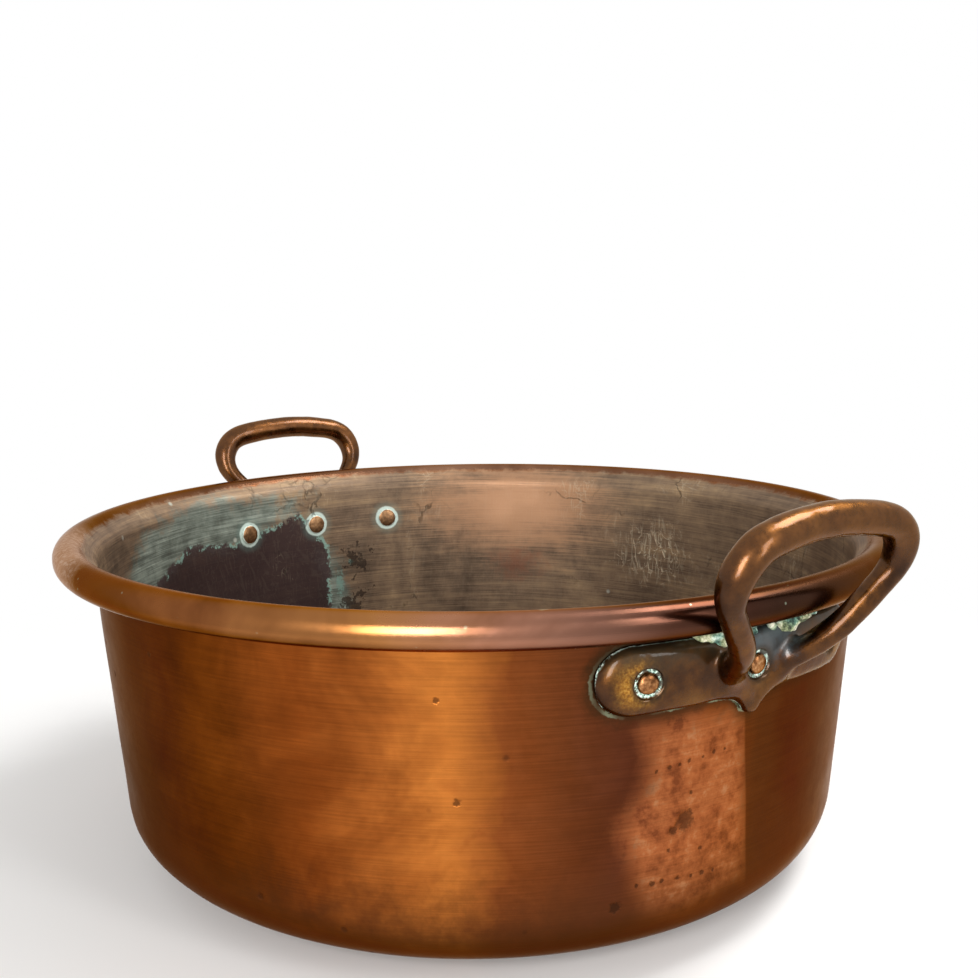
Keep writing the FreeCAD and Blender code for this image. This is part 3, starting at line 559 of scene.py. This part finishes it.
def make_crust(name, way, seed, material):
    """Verdigris crust in the gap between plate, legs and roll."""
    grid = box_grid(CRUST_BOX, CRUST_STEP)
    field = np.full(grid.shape[:3], 30.0)
    for across, height, off, size in CRUST_LUMPS:
        centre = wall_point(across, height, off)
        field = smooth_union(field, np.sqrt(((grid - centre) ** 2).sum(-1)) - size, 2.5)
    field = field + lumps(grid, field, 4, seed, [(1.5, 5), (0.8, 2.2)])
    field = np.maximum.reduce([field, 0.02 - off_wall(grid), -0.4 - np.minimum(off_roll(grid), 0.4)])
    points, faces = grid_mesh(field, grid[0, 0, 0], CRUST_STEP)
    return make_mesh(name, points * way, faces, material, {})


def make_rivet(name, node, place, way, seed, material):
    """Hammered copper rivet: broad low head inside the pan, shank, and a worn dome on the plate."""
    inside = wall_radius(RIVET_HEIGHT) - SHEET
    under = -SHEET - (inside - math.sqrt(inside ** 2 - 36)) - 0.1
    profile = np.array([(radius, under + lift) for radius, lift in HEAD_INSIDE]
                       + [(radius, RIVET_SEAT + lift) for radius, lift in HEAD_OUTSIDE])
    radius, lift, around = turned_rings(profile, RIVET_STEPS)
    local = np.stack([radius * np.cos(around), radius * np.sin(around), lift], axis=1)
    turns = np.stack([np.cos(around) * 1.4, np.sin(around) * 1.4, lift * 0.05 + seed], axis=1)
    wobble = np.abs(value_noise(turns, seed))
    dent = np.abs(value_noise(local / 2.2 + seed, seed + 5))
    head = (lift > RIVET_SEAT) | (lift < under)
    local[:, :2] *= (1 - 0.035 * wobble * head)[:, None]
    local[:, 2] += np.where(lift > RIVET_SEAT + 0.7, -0.14 * dent, 0)
    local[:, 2] += np.where(lift < under - 0.7, 0.1 * dent, 0)
    local = capped(local, profile)
    centre, outward = rivet_axis(place)
    side = np.cross([0, 0, 1], outward)
    side /= np.linalg.norm(side)
    upward = np.cross(outward, side)
    points = centre + local[:, :1] * side + local[:, 1:2] * upward + local[:, 2:] * outward
    marks = {"lift": local[:, 2], "ring": np.hypot(local[:, 0], local[:, 1])}
    piece = make_mesh(name, points * way, turned_faces(profile, RIVET_STEPS), material, marks)
    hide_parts(node)
    return piece


def begin(name):
    """New empty material, and the function that adds nodes to it."""
    material = bpy.data.materials.new(name)
    material.use_nodes = True
    material.node_tree.nodes.clear()
    return material, partial(add_node, material.node_tree)


def fray(add, value, *noises):
    """A value with each noise added to it, centred, and as wide as the number beside it."""
    for noise, width in noises:
        shift = add("Math.MULTIPLY_ADD", (noise, width, -width / 2))
        value = add("Math.ADD", (value, shift))
    return value


def frayed(add, value, low, high, *noises):
    """Share that rises softly while a frayed value goes from low to high."""
    return add("MapRange", (fray(add, value, *noises), low, high))


def stain(add, under, tone, strength, *shares):
    """Lays a tone over a colour, as strong as the strength times its shares."""
    for share in shares:
        strength = add("Math.MULTIPLY", (share, strength))
    return add("Mix", {0: strength, 6: under, 7: colour(tone) if isinstance(tone, str) else tone})


def per(size):
    """Scale of a pattern whose cells are this many millimetres across."""
    return 1 / (size * MM)


def nearest(add, place, spots):
    """Distance to the nearest of some points, each counted in its own reach."""
    far = 99.0
    for spot, reach in spots:
        gap = add("VectorMath.DISTANCE", (place, spot * MM), out="Value")
        gap = add("Math.MULTIPLY", (gap, per(reach)))
        far = add("Math.MINIMUM", (far, gap))
    return far


def finish(add, values, bumps):
    """Closes a material: its bumps from fine to coarse, the shader, and the output."""
    normal = {}
    for height, strength, distance in bumps:
        bump = add("Bump", {"Height": height, "Strength": strength, "Distance": distance, **normal})
        normal = {"Normal": bump}
    shader = add("BsdfPrincipled", {**values, **normal})
    add("OutputMaterial", (shader,))


# Tarnish round the pan from the left handle (0) past the front (0.4) and the right handle (0.5), with
# painted reflection in it: the bright band at the front (0.37 to 0.4) and the dark brown towards the edges
# seen from the front (about 0.22 to 0.30 and 0.43 to 0.56)
OUTSIDE_TARNISH_AND_REFLECTION_TONES = {
    0.0: "#7c4220", 0.08: "#94551f", 0.15: "#6d3d1c", 0.22: "#493020", 0.268: "#4a2a0e",
    0.30: "#68340a", 0.345: "#884516", 0.37: "#a05a24", 0.396: "#bc7130", 0.414: "#7e431d",
    0.435: "#633419", 0.455: "#562c1a", 0.485: "#773c18", 0.512: "#512c14", 0.56: "#3f2414",
    0.64: "#7d471f", 0.74: "#9b5a26", 0.82: "#74401d", 0.91: "#a3622c", 1.0: "#7c4220"}
# Roll tones round the pan: tarnish, with painted sheen in the pale grey at its left end (0.195 to 0.236) and
# the pinkish tones just right of the front (0.411 to 0.436)
RIM_TARNISH_AND_SHEEN_TONES = {
    0.0: "#6f4a33", 0.083: "#77513a", 0.16: "#6a4936", 0.195: "#b09a8b", 0.236: "#b69c8a",
    0.262: "#5f3822", 0.32: "#85512c", 0.38: "#a36e3e", 0.411: "#a2715a", 0.436: "#835c4c",
    0.462: "#4e3024", 0.5: "#35221a", 0.555: "#4a342b", 0.625: "#64463a", 0.72: "#6d4834",
    0.84: "#7d563e", 0.917: "#8d6852", 1.0: "#6f4a33"}
# Tones that follow a noise
RIM_CLOUDS = {0.32: "#8c7e78", 0.46: "#d8d0cc", 0.6: "#ffffff"}
WALL_CLOUDS = {0.30: "#a3958d", 0.44: "#d3c9c3", 0.58: "#ffffff", 0.75: "#eedcd3"}
PATCH_TONES = {0.34: "#743d22", 0.46: "#985530", 0.58: "#aa643a", 0.7: "#b87f56"}
INSIDE_TONES = {0.36: "#3f342b", 0.44: "#5e4e40", 0.51: "#75614e", 0.58: "#8a7359", 0.68: "#a68b6a"}
HAZE_TONES = {0.36: "#2c3532", 0.45: "#4f605a", 0.53: "#7a8c84", 0.62: "#b4c2b8"}
BRONZE_TONES = {0.32: "#321b0a", 0.45: "#42260e", 0.56: "#583513", 0.70: "#67431d"}
GOLDEN_TONES = {0.36: "#84541a", 0.5: "#ad7524", 0.66: "#cf9c42"}
PALE_GREENS = {0.34: "#3d564c", 0.46: "#8fb3a4", 0.6: "#dfece2"}
RIVET_TONES = {0.34: "#5c3a22", 0.48: "#875a38", 0.6: "#a6774e", 0.7: "#c99f76"}
# The darkest stop of the chalk and the teal tones, in the crust's cracks, is partly painted shade and partly
# dark verdigris
CHALK_TONES = {0.35: "#1d2619", 0.45: "#6f7a55", 0.53: "#b9bb96", 0.62: "#e6e3cd"}
TEAL_TONES = {0.35: "#182c26", 0.46: "#5a8474", 0.55: "#a3c3b2", 0.66: "#e2efe6"}
IRON_TONES = {0.4: "#4a4643", 0.55: "#5d4a3c", 0.68: "#7c4f32"}

# Small marks on the outside: turn in degrees, height and radius in mm
PITS = [(-39.2, 128.2, 1.3), (-37.1, 87.0, 1.7), (-17.6, 37.2, 2.6), (-8.3, 69.6, 4.6), (-9.9, 66.0, 2.2),
        (-12.9, 93.2, 0.9), (-11.1, 93.9, 1.2), (-9.6, 94.1, 0.8), (-8.2, 94.9, 1.0), (-6.1, 95.3, 0.8),
        (-4.4, 96.1, 1.1), (-2.6, 96.3, 0.8), (-14.8, 45.2, 1.0), (-12.6, 44.6, 1.4), (-11.2, 45.0, 0.9),
        (-8.8, 44.4, 1.1), (-6.7, 43.6, 0.9), (-4.9, 43.8, 1.3), (-3.0, 43.1, 0.9), (-5.5, 55.0, 1.1),
        (-10.5, 58.0, 0.9), (-7.6, 81.0, 1.0)]
NICK = (-27.8, 201.0, 165.2)  # turn, radius and height


def round_point(degrees, radius, height):
    """Point from its turn round the pan, its radius and its height."""
    turn = math.radians(degrees)
    return np.array([math.cos(turn) * radius, math.sin(turn) * radius, height])


def copper_sheet():
    """Raised sheet copper, rubbed bright in places and brown with age in others, with painted reflection in
    its colour (a bright band and dark sides outside, a bright patch, a light copper glow inside): fine hoops
    of wiping marks run round it, pits and scratches break them, and green haze sits inside."""
    material, add = begin("raised_copper_sheet")
    place = add("TexCoord")
    axes = add("SeparateXYZ", (place,)).node.outputs
    marks = {key: add("Attribute", attribute_name=key) for key in PAN_MARKS}
    climb = add("Math.MULTIPLY", (marks["along_section"], MM))
    hoop = add("CombineXYZ", (axes["X"], axes["Y"], climb))
    # Wiping marks 40 mm long and 0.8 mm wide, wider than the real hairlines so that they show, and
    # broader hoops left by scouring, about 9 mm apart
    fine, broad = (
        add("TexNoise", {"Vector": add("Mapping", {"Vector": hoop, "Scale": (along, along, across)}),
                         "Scale": 1.0, "Detail": 3.0, "Roughness": roughness})
        for along, across, roughness in ((per(40), per(0.8), 0.65), (per(90.909), per(9.0909), 0.62)))
    # Clouds of tarnish about 60 mm across, mottling about 9 mm across, and grit of 2 mm
    clouds, mottle, grit = (
        add("TexNoise", {"Vector": place, "Scale": per(size), "Detail": detail, "Roughness": roughness,
                         "Distortion": bend})
        for size, detail, roughness, bend in ((58.824, 4.0, 0.6, 0.6), (9.0909, 4.0, 0.7, 0.0),
                                              (1.9231, 2.0, 0.6, 0.0)))

    # Outside: the tarnish changes round the pan, and the wall's and the roll's tones carry painted
    # reflection and sheen
    turn = add("Math.ARCTAN2", (axes["Y"], axes["X"]))
    share = add("Math.MULTIPLY_ADD", (turn, 0.5 / math.pi, 0.5))
    around = add("Math.FRACT", (fray(add, share, (clouds, 0.05)),))
    rim = add("ValToRGB", (around,), stops=RIM_TARNISH_AND_SHEEN_TONES)
    rim = add("Mix", {0: 0.6, 6: rim, 7: add("ValToRGB", (clouds,), stops=RIM_CLOUDS)},
              blend_type="MULTIPLY")
    outside = add("ValToRGB", (around,), stops=OUTSIDE_TARNISH_AND_REFLECTION_TONES)
    for share, tone in ((0.6, add("ValToRGB", (clouds,), stops=WALL_CLOUDS)),
                        (1.0, add("MapRange", (mottle, 0.34, 0.66, 0.95, 1.03)))):
        outside = add("Mix", {0: share, 6: outside, 7: tone}, blend_type="MULTIPLY")
    # A bright patch beside the brazed seam, ragged on three sides and straight along the seam: partly a
    # painted reflection of a vertical light band, partly rubbed copper
    seam = add("Math.MULTIPLY_ADD", (axes["Z"], -0.75, math.radians(5.0)))
    past_seam = add("Math.SUBTRACT", (turn, seam))
    outside = stain(add, outside, add("ValToRGB", (mottle,), stops=PATCH_TONES), 0.75,
                    frayed(add, marks["patch"], 7.0, -7.0, (clouds, 22.0), (mottle, 18.0)),
                    add("MapRange", (past_seam, 0.004, -0.004)))
    streaks = add("MapRange", (fine, 0.3, 0.7, 0.88, 1.1))
    outside = add("Mix", {0: 1.0, 6: outside, 7: streaks}, blend_type="MULTIPLY")
    # Darker band round the bottom corner
    low_down = add("Math.MULTIPLY_ADD", (mottle, 0.03, axes["Z"]))
    outside = stain(add, outside, "#4f2c16", 0.85, add("MapRange", (low_down, 0.078, 0.034)))
    # Painted shadow on the wall round the handle plates, and a pale broken line where they meet the wall
    outside = stain(add, outside, "#2e2212", 0.7, frayed(add, marks["plate"], 7.0, 0.5, (mottle, 9.0)))
    past_line = add("Math.ADD", (marks["plate"], add("Math.MULTIPLY_ADD", (grit, 2.0, -1.7))))
    past_line = add("Math.ABSOLUTE", (past_line,))
    outside = stain(add, outside, "#8f9c80", 0.6, add("MapRange", (past_line, 0.9, 0.3)),
                    add("MapRange", (clouds, 0.44, 0.54)))
    # Pits and stains, and specks in some cells of 16 mm
    pits = [(round_point(degrees, wall_radius(height), height), reach) for degrees, height, reach in PITS]
    pitted = frayed(add, nearest(add, place, pits), 1.25, 0.55, (grit, 1.6))
    gap = add("TexVoronoi", {"Vector": place, "Scale": per(16.129)})
    chance = add("SeparateColor", (gap.node.outputs["Color"],))
    speck = add("Math.MULTIPLY", (add("MapRange", (gap, 0.13, 0.05)), add("MapRange", (chance, 0.80, 0.84))))
    pitted = add("Math.MAXIMUM", (pitted, add("Math.MULTIPLY", (speck, 0.7))))
    outside = stain(add, outside, "#2f1c11", 0.65, pitted)
    # Roll: grey speckle at its left end, verdigris in a nick on its crown, and a few chalky flecks
    from_left = add("Math.ABSOLUTE", (add("Math.SUBTRACT", (around, 0.215)),))
    rim = stain(add, rim, "#cdbdb2", 0.7, add("MapRange", (grit, 0.46, 0.62)),
                add("MapRange", (from_left, 0.05, 0.02)))
    nick = nearest(add, place, [(round_point(*NICK), 2.0)])
    nick = frayed(add, nick, 1.2, 0.6, (grit, 1.2))
    flecks = add("MapRange", (add("TexVoronoi", {"Vector": place, "Scale": per(10.526)}), 0.07, 0.03))
    flecks = add("Math.MULTIPLY", (flecks, 0.4))
    rim = stain(add, rim, "#b9c7ae", 0.8, add("Math.MAXIMUM", (nick, flecks)))

    # Inside: dull grey-brown hoops over what is left of the tinning, and a light copper glow that is a
    # painted reflection
    inner = add("Math.MULTIPLY", (mottle, 0.18))
    for noise, part in ((broad, 0.24), (clouds, 0.28), (fine, 0.30)):
        inner = add("Math.MULTIPLY_ADD", (noise, part, inner))
    inside = add("ValToRGB", (inner,), stops=INSIDE_TONES)
    # Painted reflection: a light copper glow on the inside wall
    inside = stain(add, inside, "#a0785a", 0.85, frayed(add, marks["painted_warm_reflection"], -0.15, 0.75, (inner, 3.0)))
    inside = stain(add, inside, "#6f4130", 0.6, frayed(add, marks["red"], 0.3, 1.0, (mottle, 1.4)))
    # Green haze, and the dark plum area with its pale jagged edge
    haze = frayed(add, marks["haze"], 4.0, -9.0, (clouds, 44.0), (mottle, 30.0))
    haze = add("Math.MULTIPLY", (haze, 0.72))
    green = add("ValToRGB", (inner,), stops=HAZE_TONES)
    inside = add("Mix", {0: haze, 6: inside, 7: green})
    plum_edge = fray(add, marks["plum"], (mottle, 12.0), (grit, 5.0))
    inside = stain(add, inside, "#35282a", 0.92, add("MapRange", (plum_edge, 1.5, -1.5)))
    from_edge = add("Math.ABSOLUTE", (plum_edge,))
    inside = stain(add, inside, "#86a89c", 0.8, add("MapRange", (from_edge, 2.0, 0.6)),
                   add("MapRange", (mottle, 0.47, 0.56)))
    inside = stain(add, inside, "#6b8a7f", 0.8, frayed(add, marks["streak"], 0.2, 0.8, (grit, 1.6)))
    # A faint green halo and a chalky ring round each rivet head
    heads = [(wall_point(side * RIVET_SPACING, RIVET_HEIGHT, -SHEET) * way, 1.0)
             for side in RIVET_PLACES for way in (1, OTHER_SIDE)]
    head_gap = fray(add, nearest(add, place, heads), (mottle, 2.2))
    for tone, strength, low, high in (("#6f9088", 0.2, 13.0, 8.0), ("#c9dbd2", 0.85, 8.4, 7.2)):
        inside = stain(add, inside, tone, strength, add("MapRange", (head_gap, low, high)))
    # Dark growth with feathery edges beside the plum area
    growth = frayed(add, marks["growth"], 0.30, 0.55, (mottle, 4.4), (grit, 1.6))
    inside = stain(add, inside, "#221b18", 0.8, growth)
    # Pale scratches, a branching web of finer ones, and dark cracks in the tinning
    scratched = 0.0
    for tilt, sizes in ((0.5, (0.66667, 11.111, 16.667)), (-0.9, (0.76923, 12.5, 14.286)),
                        (1.3, (16.667, 0.71429, 11.111))):
        lay = add("Mapping", {"Vector": place, "Rotation": (tilt, 0.4 * tilt, tilt),
                              "Scale": tuple(per(size) for size in sizes)})
        line = add("TexNoise", {"Vector": lay, "Scale": 1.0, "Detail": 1.0, "Roughness": 0.4})
        scratched = add("Math.MAXIMUM", (scratched, add("MapRange", (line, 0.62, 0.72))))
    bend = add("TexNoise", {"Vector": place, "Scale": per(11.111), "Detail": 2.0}, out="Color")
    bend = add("VectorMath.SCALE", {0: bend, "Scale": 0.016})
    bent = add("VectorMath.ADD", (place, bend))
    web, crack = (add("TexVoronoi", {"Vector": bent, "Scale": per(size)}, feature="DISTANCE_TO_EDGE")
                  for size in (8.3333, 29.412))
    web = add("Math.MULTIPLY", (add("MapRange", (web, 0.06, 0.015)), add("MapRange", (grit, 0.45, 0.55))))
    scratched = add("Math.MAXIMUM", (scratched, web))
    inside = stain(add, inside, "#1d1713", 0.6, add("MapRange", (crack, 0.03, 0.008)),
                   add("MapRange", (clouds, 0.53, 0.62)))
    scuffs, stray = (
        add("Math.MULTIPLY", (scratched, share))
        for share in (frayed(add, marks["scuffed"], 0.1, 0.9, (mottle, 1.2)),
                      add("MapRange", (clouds, 0.54, 0.66, 0.04, 0.4))))
    inside = stain(add, inside, "#b3a78f", 0.75, add("Math.MAXIMUM", (scuffs, stray)))
    inside = stain(add, inside, "#a9aca0", 0.7, speck)

    # Outside, roll and inside meet along the section
    on_rim = add("Math.MULTIPLY", (add("MapRange", (marks["past_roll"], -62.0, -56.0)),
                                   add("MapRange", (marks["past_roll"], -4.0, -8.0))))
    is_inside = frayed(add, marks["past_roll"], -8.5, -4.5, (mottle, 8.0))
    base = add("Mix", {0: on_rim, 6: outside, 7: rim})
    base = add("Mix", {0: is_inside, 6: base, 7: inside})
    dull = add("Math.MULTIPLY", (add("Math.MAXIMUM", (haze, 0.45)), is_inside))
    rough = fray(add, add("MapRange", (clouds, 0.3, 0.7, 0.30, 0.42)), (mottle, 0.16))
    for share, change in ((on_rim, -0.14), (dull, 0.30), (pitted, 0.25)):
        rough = add("Math.MULTIPLY_ADD", (share, change, rough))
    off_rim = add("Math.MULTIPLY_ADD", (on_rim, -0.8, 1.0))
    uneven = add("Math.MULTIPLY", (mottle, off_rim))
    sunk = add("Math.MULTIPLY", (add("Math.MAXIMUM", (pitted, scuffs)), -1.0))
    finish(add, {"Base Color": base, "Metallic": add("Math.SUBTRACT", (1.0, dull)),
                 "Roughness": rough, "Anisotropic": 0.3, "Specular Tint": colour("#d8b69c"),
                 "Coat Weight": 0.03, "Coat Roughness": 0.22},
           [(fine, 0.10, 0.0004), (uneven, 0.07, 0.0010), (sunk, 0.5, 0.0005)])
    return material


def cast_bronze():
    """Sand-cast bronze, oiled brown by hands: rubbed golden on the lobes and lighter on the grip, with
    painted shade that makes it almost black under the roll, and pale green where the plate meets the wall
    and round the rivets."""
    material, add = begin("cast_bronze")
    place = add("TexCoord")
    marks = {key: add("Attribute", attribute_name=key) for key in HANDLE_MARKS}
    # Clouds 25 mm across, and sand texture 5 mm and 1 mm across
    clouds, mottle, sand = (
        add("TexNoise", {"Vector": place, "Scale": per(size), "Detail": detail, "Roughness": roughness})
        for size, detail, roughness in ((23.81, 5.0, 0.6), (4.7619, 5.0, 0.68), (1.1111, 3.0, 0.7)))
    tone = add("ValToRGB", (clouds,), stops=BRONZE_TONES)
    on_lobe = add("Math.MULTIPLY", (frayed(add, marks["lobe"], 0.25, 0.9, (clouds, 0.8)), 0.85))
    golden = add("ValToRGB", (sand,), stops=GOLDEN_TONES)
    tone = add("Mix", {0: on_lobe, 6: tone, 7: golden})
    tone = stain(add, tone, "#704726", 0.5, add("MapRange", (marks["rise"], 0.45, 1.0)))
    mottled = add("MapRange", (mottle, 0.34, 0.66, 0.84, 1.1))
    tone = add("Mix", {0: 1.0, 6: tone, 7: mottled}, blend_type="MULTIPLY")
    # Painted shade on the plate under the roll
    shaded = add("Math.MULTIPLY", (frayed(add, marks["roll_gap"], 19.0, 5.0, (mottle, 10.0)),
                                   add("MapRange", (marks["wall_gap"], 14.0, 9.0))))
    tone = stain(add, tone, "#23231a", 0.85, shaded)
    # Blue-grey dirt beside the middle rivet
    dirt = [(wall_point(across, height, 6.0), 1.0) for across, height in ((11.0, 145.0), (4.0, 141.0))]
    dirt = frayed(add, nearest(add, place, dirt), 13.0, 4.0, (mottle, 14.0))
    tone = stain(add, tone, "#5c6a70", 0.6, dirt)
    # Pale green in the seam, and a pale ring in a dark one round each rivet
    in_seam = add("Math.MULTIPLY", (frayed(add, marks["wall_gap"], 1.9, 0.9, (mottle, 3.0)),
                                    add("MapRange", (mottle, 0.38, 0.5))))
    ring_gap = fray(add, marks["rivet_gap"], (mottle, 2.4))
    ring = add("MapRange", (ring_gap, 6.1, 5.6))
    for share in (add("MapRange", (ring_gap, 4.3, 4.9)),
                  add("MapRange", (mottle, 0.44, 0.52, 0.1, 1.0))):
        ring = add("Math.MULTIPLY", (ring, share))
    tone = stain(add, tone, "#2b1f12", 0.8, add("MapRange", (ring_gap, 9.5, 6.4)))
    green = add("Math.MAXIMUM", (in_seam, ring))
    tone = add("Mix", {0: green, 6: tone, 7: add("ValToRGB", (sand,), stops=PALE_GREENS)})
    # Verdigris and the painted shade under the roll both make the bronze less metallic
    verdigris_and_shade = add("Math.MAXIMUM", (green, add("Math.MULTIPLY", (shaded, 0.5))))
    rough = add("MapRange", (mottle, 0.3, 0.7, 0.24, 0.40))
    for share, change in ((green, 0.5), (shaded, 0.3), (on_lobe, 0.08)):
        rough = add("Math.MULTIPLY_ADD", (share, change, rough))
    finish(add, {"Base Color": tone, "Metallic": add("Math.SUBTRACT", (1.0, verdigris_and_shade)),
                 "Roughness": rough, "Specular Tint": colour("#dcc09c"), "Coat Weight": 0.3,
                 "Coat Roughness": 0.12},
           [(mottle, 0.12, 0.0006), (sand, 0.12, 0.0003), (green, 0.5, 0.0004)])
    return material


def hammered_copper():
    """Soft copper rivets, closed by hammer: bright on the crown, brown in the dents, and duller with a
    pale green rim on the heads inside the pan."""
    material, add = begin("hammered_rivet_copper")
    place = add("TexCoord")
    ring, lift = (add("Attribute", attribute_name=key) for key in ("ring", "lift"))
    # Dents and mottling about 2 mm across
    mottle = add("TexNoise", {"Vector": place, "Scale": per(2.381), "Detail": 4.0, "Roughness": 0.65})
    inner = add("MapRange", (lift, 0.0, -1.0))
    from_rim = add("Math.MULTIPLY_ADD", (inner, -1.35, ring))
    green = add("Math.MULTIPLY", (frayed(add, from_rim, 4.0, 4.35, (mottle, 1.2)), inner))
    tone = stain(add, add("ValToRGB", (mottle,), stops=RIVET_TONES), "#8c7256", 0.5, inner)
    tone = stain(add, tone, "#cfe0d8", 0.85, green)
    rough = add("MapRange", (mottle, 0.3, 0.7, 0.30, 0.45))
    finish(add, {"Base Color": tone, "Metallic": add("Math.SUBTRACT", (1.0, green)),
                 "Roughness": add("Math.MULTIPLY_ADD", (green, 0.45, rough)),
                 "Specular Tint": colour("#c08a66")}, [(mottle, 0.3, 0.0003)])
    return material


def verdigris():
    """Crumbly copper salts: chalky cream and pale green on the lumps, and dark green in the cracks that is
    partly painted shade and partly dark verdigris.
    """
    material, add = begin("verdigris_crust")
    place = add("TexCoord")
    # Crumbs 4 mm across, in patches of 13 mm that are chalky or green
    crumbs = add("TexNoise", {"Vector": place, "Scale": per(3.8462), "Detail": 6.0, "Roughness": 0.7})
    patches = add("TexNoise", {"Vector": place, "Scale": per(13.333), "Detail": 2.0})
    chalk, teal = (add("ValToRGB", (crumbs,), stops=stops) for stops in (CHALK_TONES, TEAL_TONES))
    share = add("MapRange", (patches, 0.45, 0.56))
    tone = add("Mix", {0: share, 6: chalk, 7: teal})
    finish(add, {"Base Color": tone, "Roughness": 0.82}, [(crumbs, 0.8, 0.0012)])
    return material


def drawn_iron():
    """Drawn iron wire, rusting slightly where the roll lets air in: dull grey-brown with rusty blooms."""
    material, add = begin("drawn_iron_wire")
    place = add("TexCoord")
    # Rust in blooms about 7 mm across
    rust = add("TexNoise", {"Vector": place, "Scale": per(6.6667), "Detail": 5.0, "Roughness": 0.7})
    finish(add, {"Base Color": add("ValToRGB", (rust,), stops=IRON_TONES),
                 "Metallic": add("MapRange", (rust, 0.66, 0.5)), "Roughness": 0.55},
           [(rust, 0.3, 0.0004)])
    return material


COPPER = copper_sheet()
BRONZE = cast_bronze()
RIVET_COPPER = hammered_copper()
CRUST = verdigris()
IRON = drawn_iron()

pieces = [make_pan_body(COPPER)]
for side, way, seed in (("right", 1, 21), ("left", OTHER_SIDE, 57)):
    pieces.append(make_handle(f"cast_handle_{side}", f"handle_{side}", way, seed, BRONZE))
    pieces.append(make_crust(f"verdigris_{side}", way, seed + 3, CRUST))
    for number, place in enumerate(RIVET_PLACES, start=1):
        pieces.append(make_rivet(f"hammered_rivet_{side}_{number}", f"{side}_rivet_{number}", place, way,
                                 seed + number, RIVET_COPPER))
for piece in pieces:
    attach(piece, "root")
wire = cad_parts["rim_wire"]
wire.data.materials.clear()
wire.data.materials.append(IRON)

# Camera at the photograph's angle: angles in radians, focal length in pixels
CAMERA_BACK, CAMERA_UP = 603.2, 270.2
PITCH, YAW, ROLL = 0.15082, 0.010848, -0.010033
SENSOR, PHOTO_PIXELS, FOCAL_PIXELS = 36, 978, 1164.38
TURN = math.radians(55.6)

camera_data = bpy.data.cameras.new("camera")
camera_data.sensor_width = SENSOR
camera_data.lens = FOCAL_PIXELS / PHOTO_PIXELS * SENSOR
camera_data.clip_start, camera_data.clip_end = 0.01, 100
camera = new_object("camera", camera_data)
aim = Matrix.Rotation(TURN, 4, "Z") @ Matrix.Translation((0, -CAMERA_BACK * MM, CAMERA_UP * MM))
for angle, axis in ((-YAW, "Z"), (math.pi / 2 - PITCH, "X"), (ROLL, "Z")):
    aim = aim @ Matrix.Rotation(angle, 4, axis)
camera.matrix_world = aim
bpy.context.scene.camera = camera


# Soft area lamps that face the pan: azimuth from the camera's side and elevation in degrees,
# distance, width and height in metres, and power in watts
LAMPS = {"soft_box_front": (-16, 14, 1.7, 0.55, 1.2, 30),
         "soft_box_right": (46, 20, 2.0, 0.4, 1.2, 12),
         "soft_box_top": (105, 55, 1.8, 0.8, 0.7, 24)}
for name, (azimuth, elevation, distance, width, height, power) in LAMPS.items():
    lamp_data = bpy.data.lights.new(name, "AREA")
    lamp_data.shape = "RECTANGLE"
    lamp_data.size, lamp_data.size_y = width, height
    lamp_data.energy = power
    lamp = new_object(name, lamp_data)
    around = TURN - math.pi / 2 + math.radians(azimuth)
    rise = math.radians(elevation)
    away = Vector((math.cos(around) * math.cos(rise), math.sin(around) * math.cos(rise), math.sin(rise)))
    lamp.location = Vector((0, 0, 0.1)) + away * distance
    lamp.rotation_mode = "QUATERNION"
    lamp.rotation_quaternion = away.to_track_quat("Z", "Y")


def seen_rays(add):
    """1 for what is seen directly, in a reflection or through glass, and 0 for what only lights."""
    rays = add("LightPath").node.outputs
    seen = add("Math.MAXIMUM", (rays["Is Camera Ray"], rays["Is Glossy Ray"]))
    return add("Math.MAXIMUM", (seen, rays["Is Transmission Ray"]))


# Pale matt floor: near the pan it keeps its shadow, and from 0.24 to 0.6 m it runs into the white
floor_mesh = bpy.data.meshes.new("floor")
floor_mesh.from_pydata([(-40, -40, 0), (40, -40, 0), (40, 40, 0), (-40, 40, 0)], [], [(0, 1, 2, 3)])
floor = new_object("floor", floor_mesh)
floor_material, add = begin("pale_floor")
matt = add("BsdfDiffuse", (colour("#f2f1ef"),))
gap = add("VectorMath.LENGTH", (add("TexCoord"),), out="Value")
far = add("MapRange", (gap, 0.24, 0.6))
white_share = add("Math.MULTIPLY", (far, seen_rays(add)))
white = add("Emission")
add("OutputMaterial", (add("MixShader", (white_share, matt, white)),))
floor_mesh.materials.append(floor_material)

# White background that lights the pan less than it shows
world = bpy.data.worlds.new("studio")
world.use_nodes = True
bpy.context.scene.world = world
world.node_tree.nodes.clear()
add = partial(add_node, world.node_tree)
strength = add("MapRange", {"Value": seen_rays(add), "To Min": 0.6, "To Max": 1.0},
               interpolation_type="LINEAR")
add("OutputWorld", (add("Background", {"Color": colour("#ffffff"), "Strength": strength}),))

bpy.context.scene.view_settings.view_transform = "Standard"
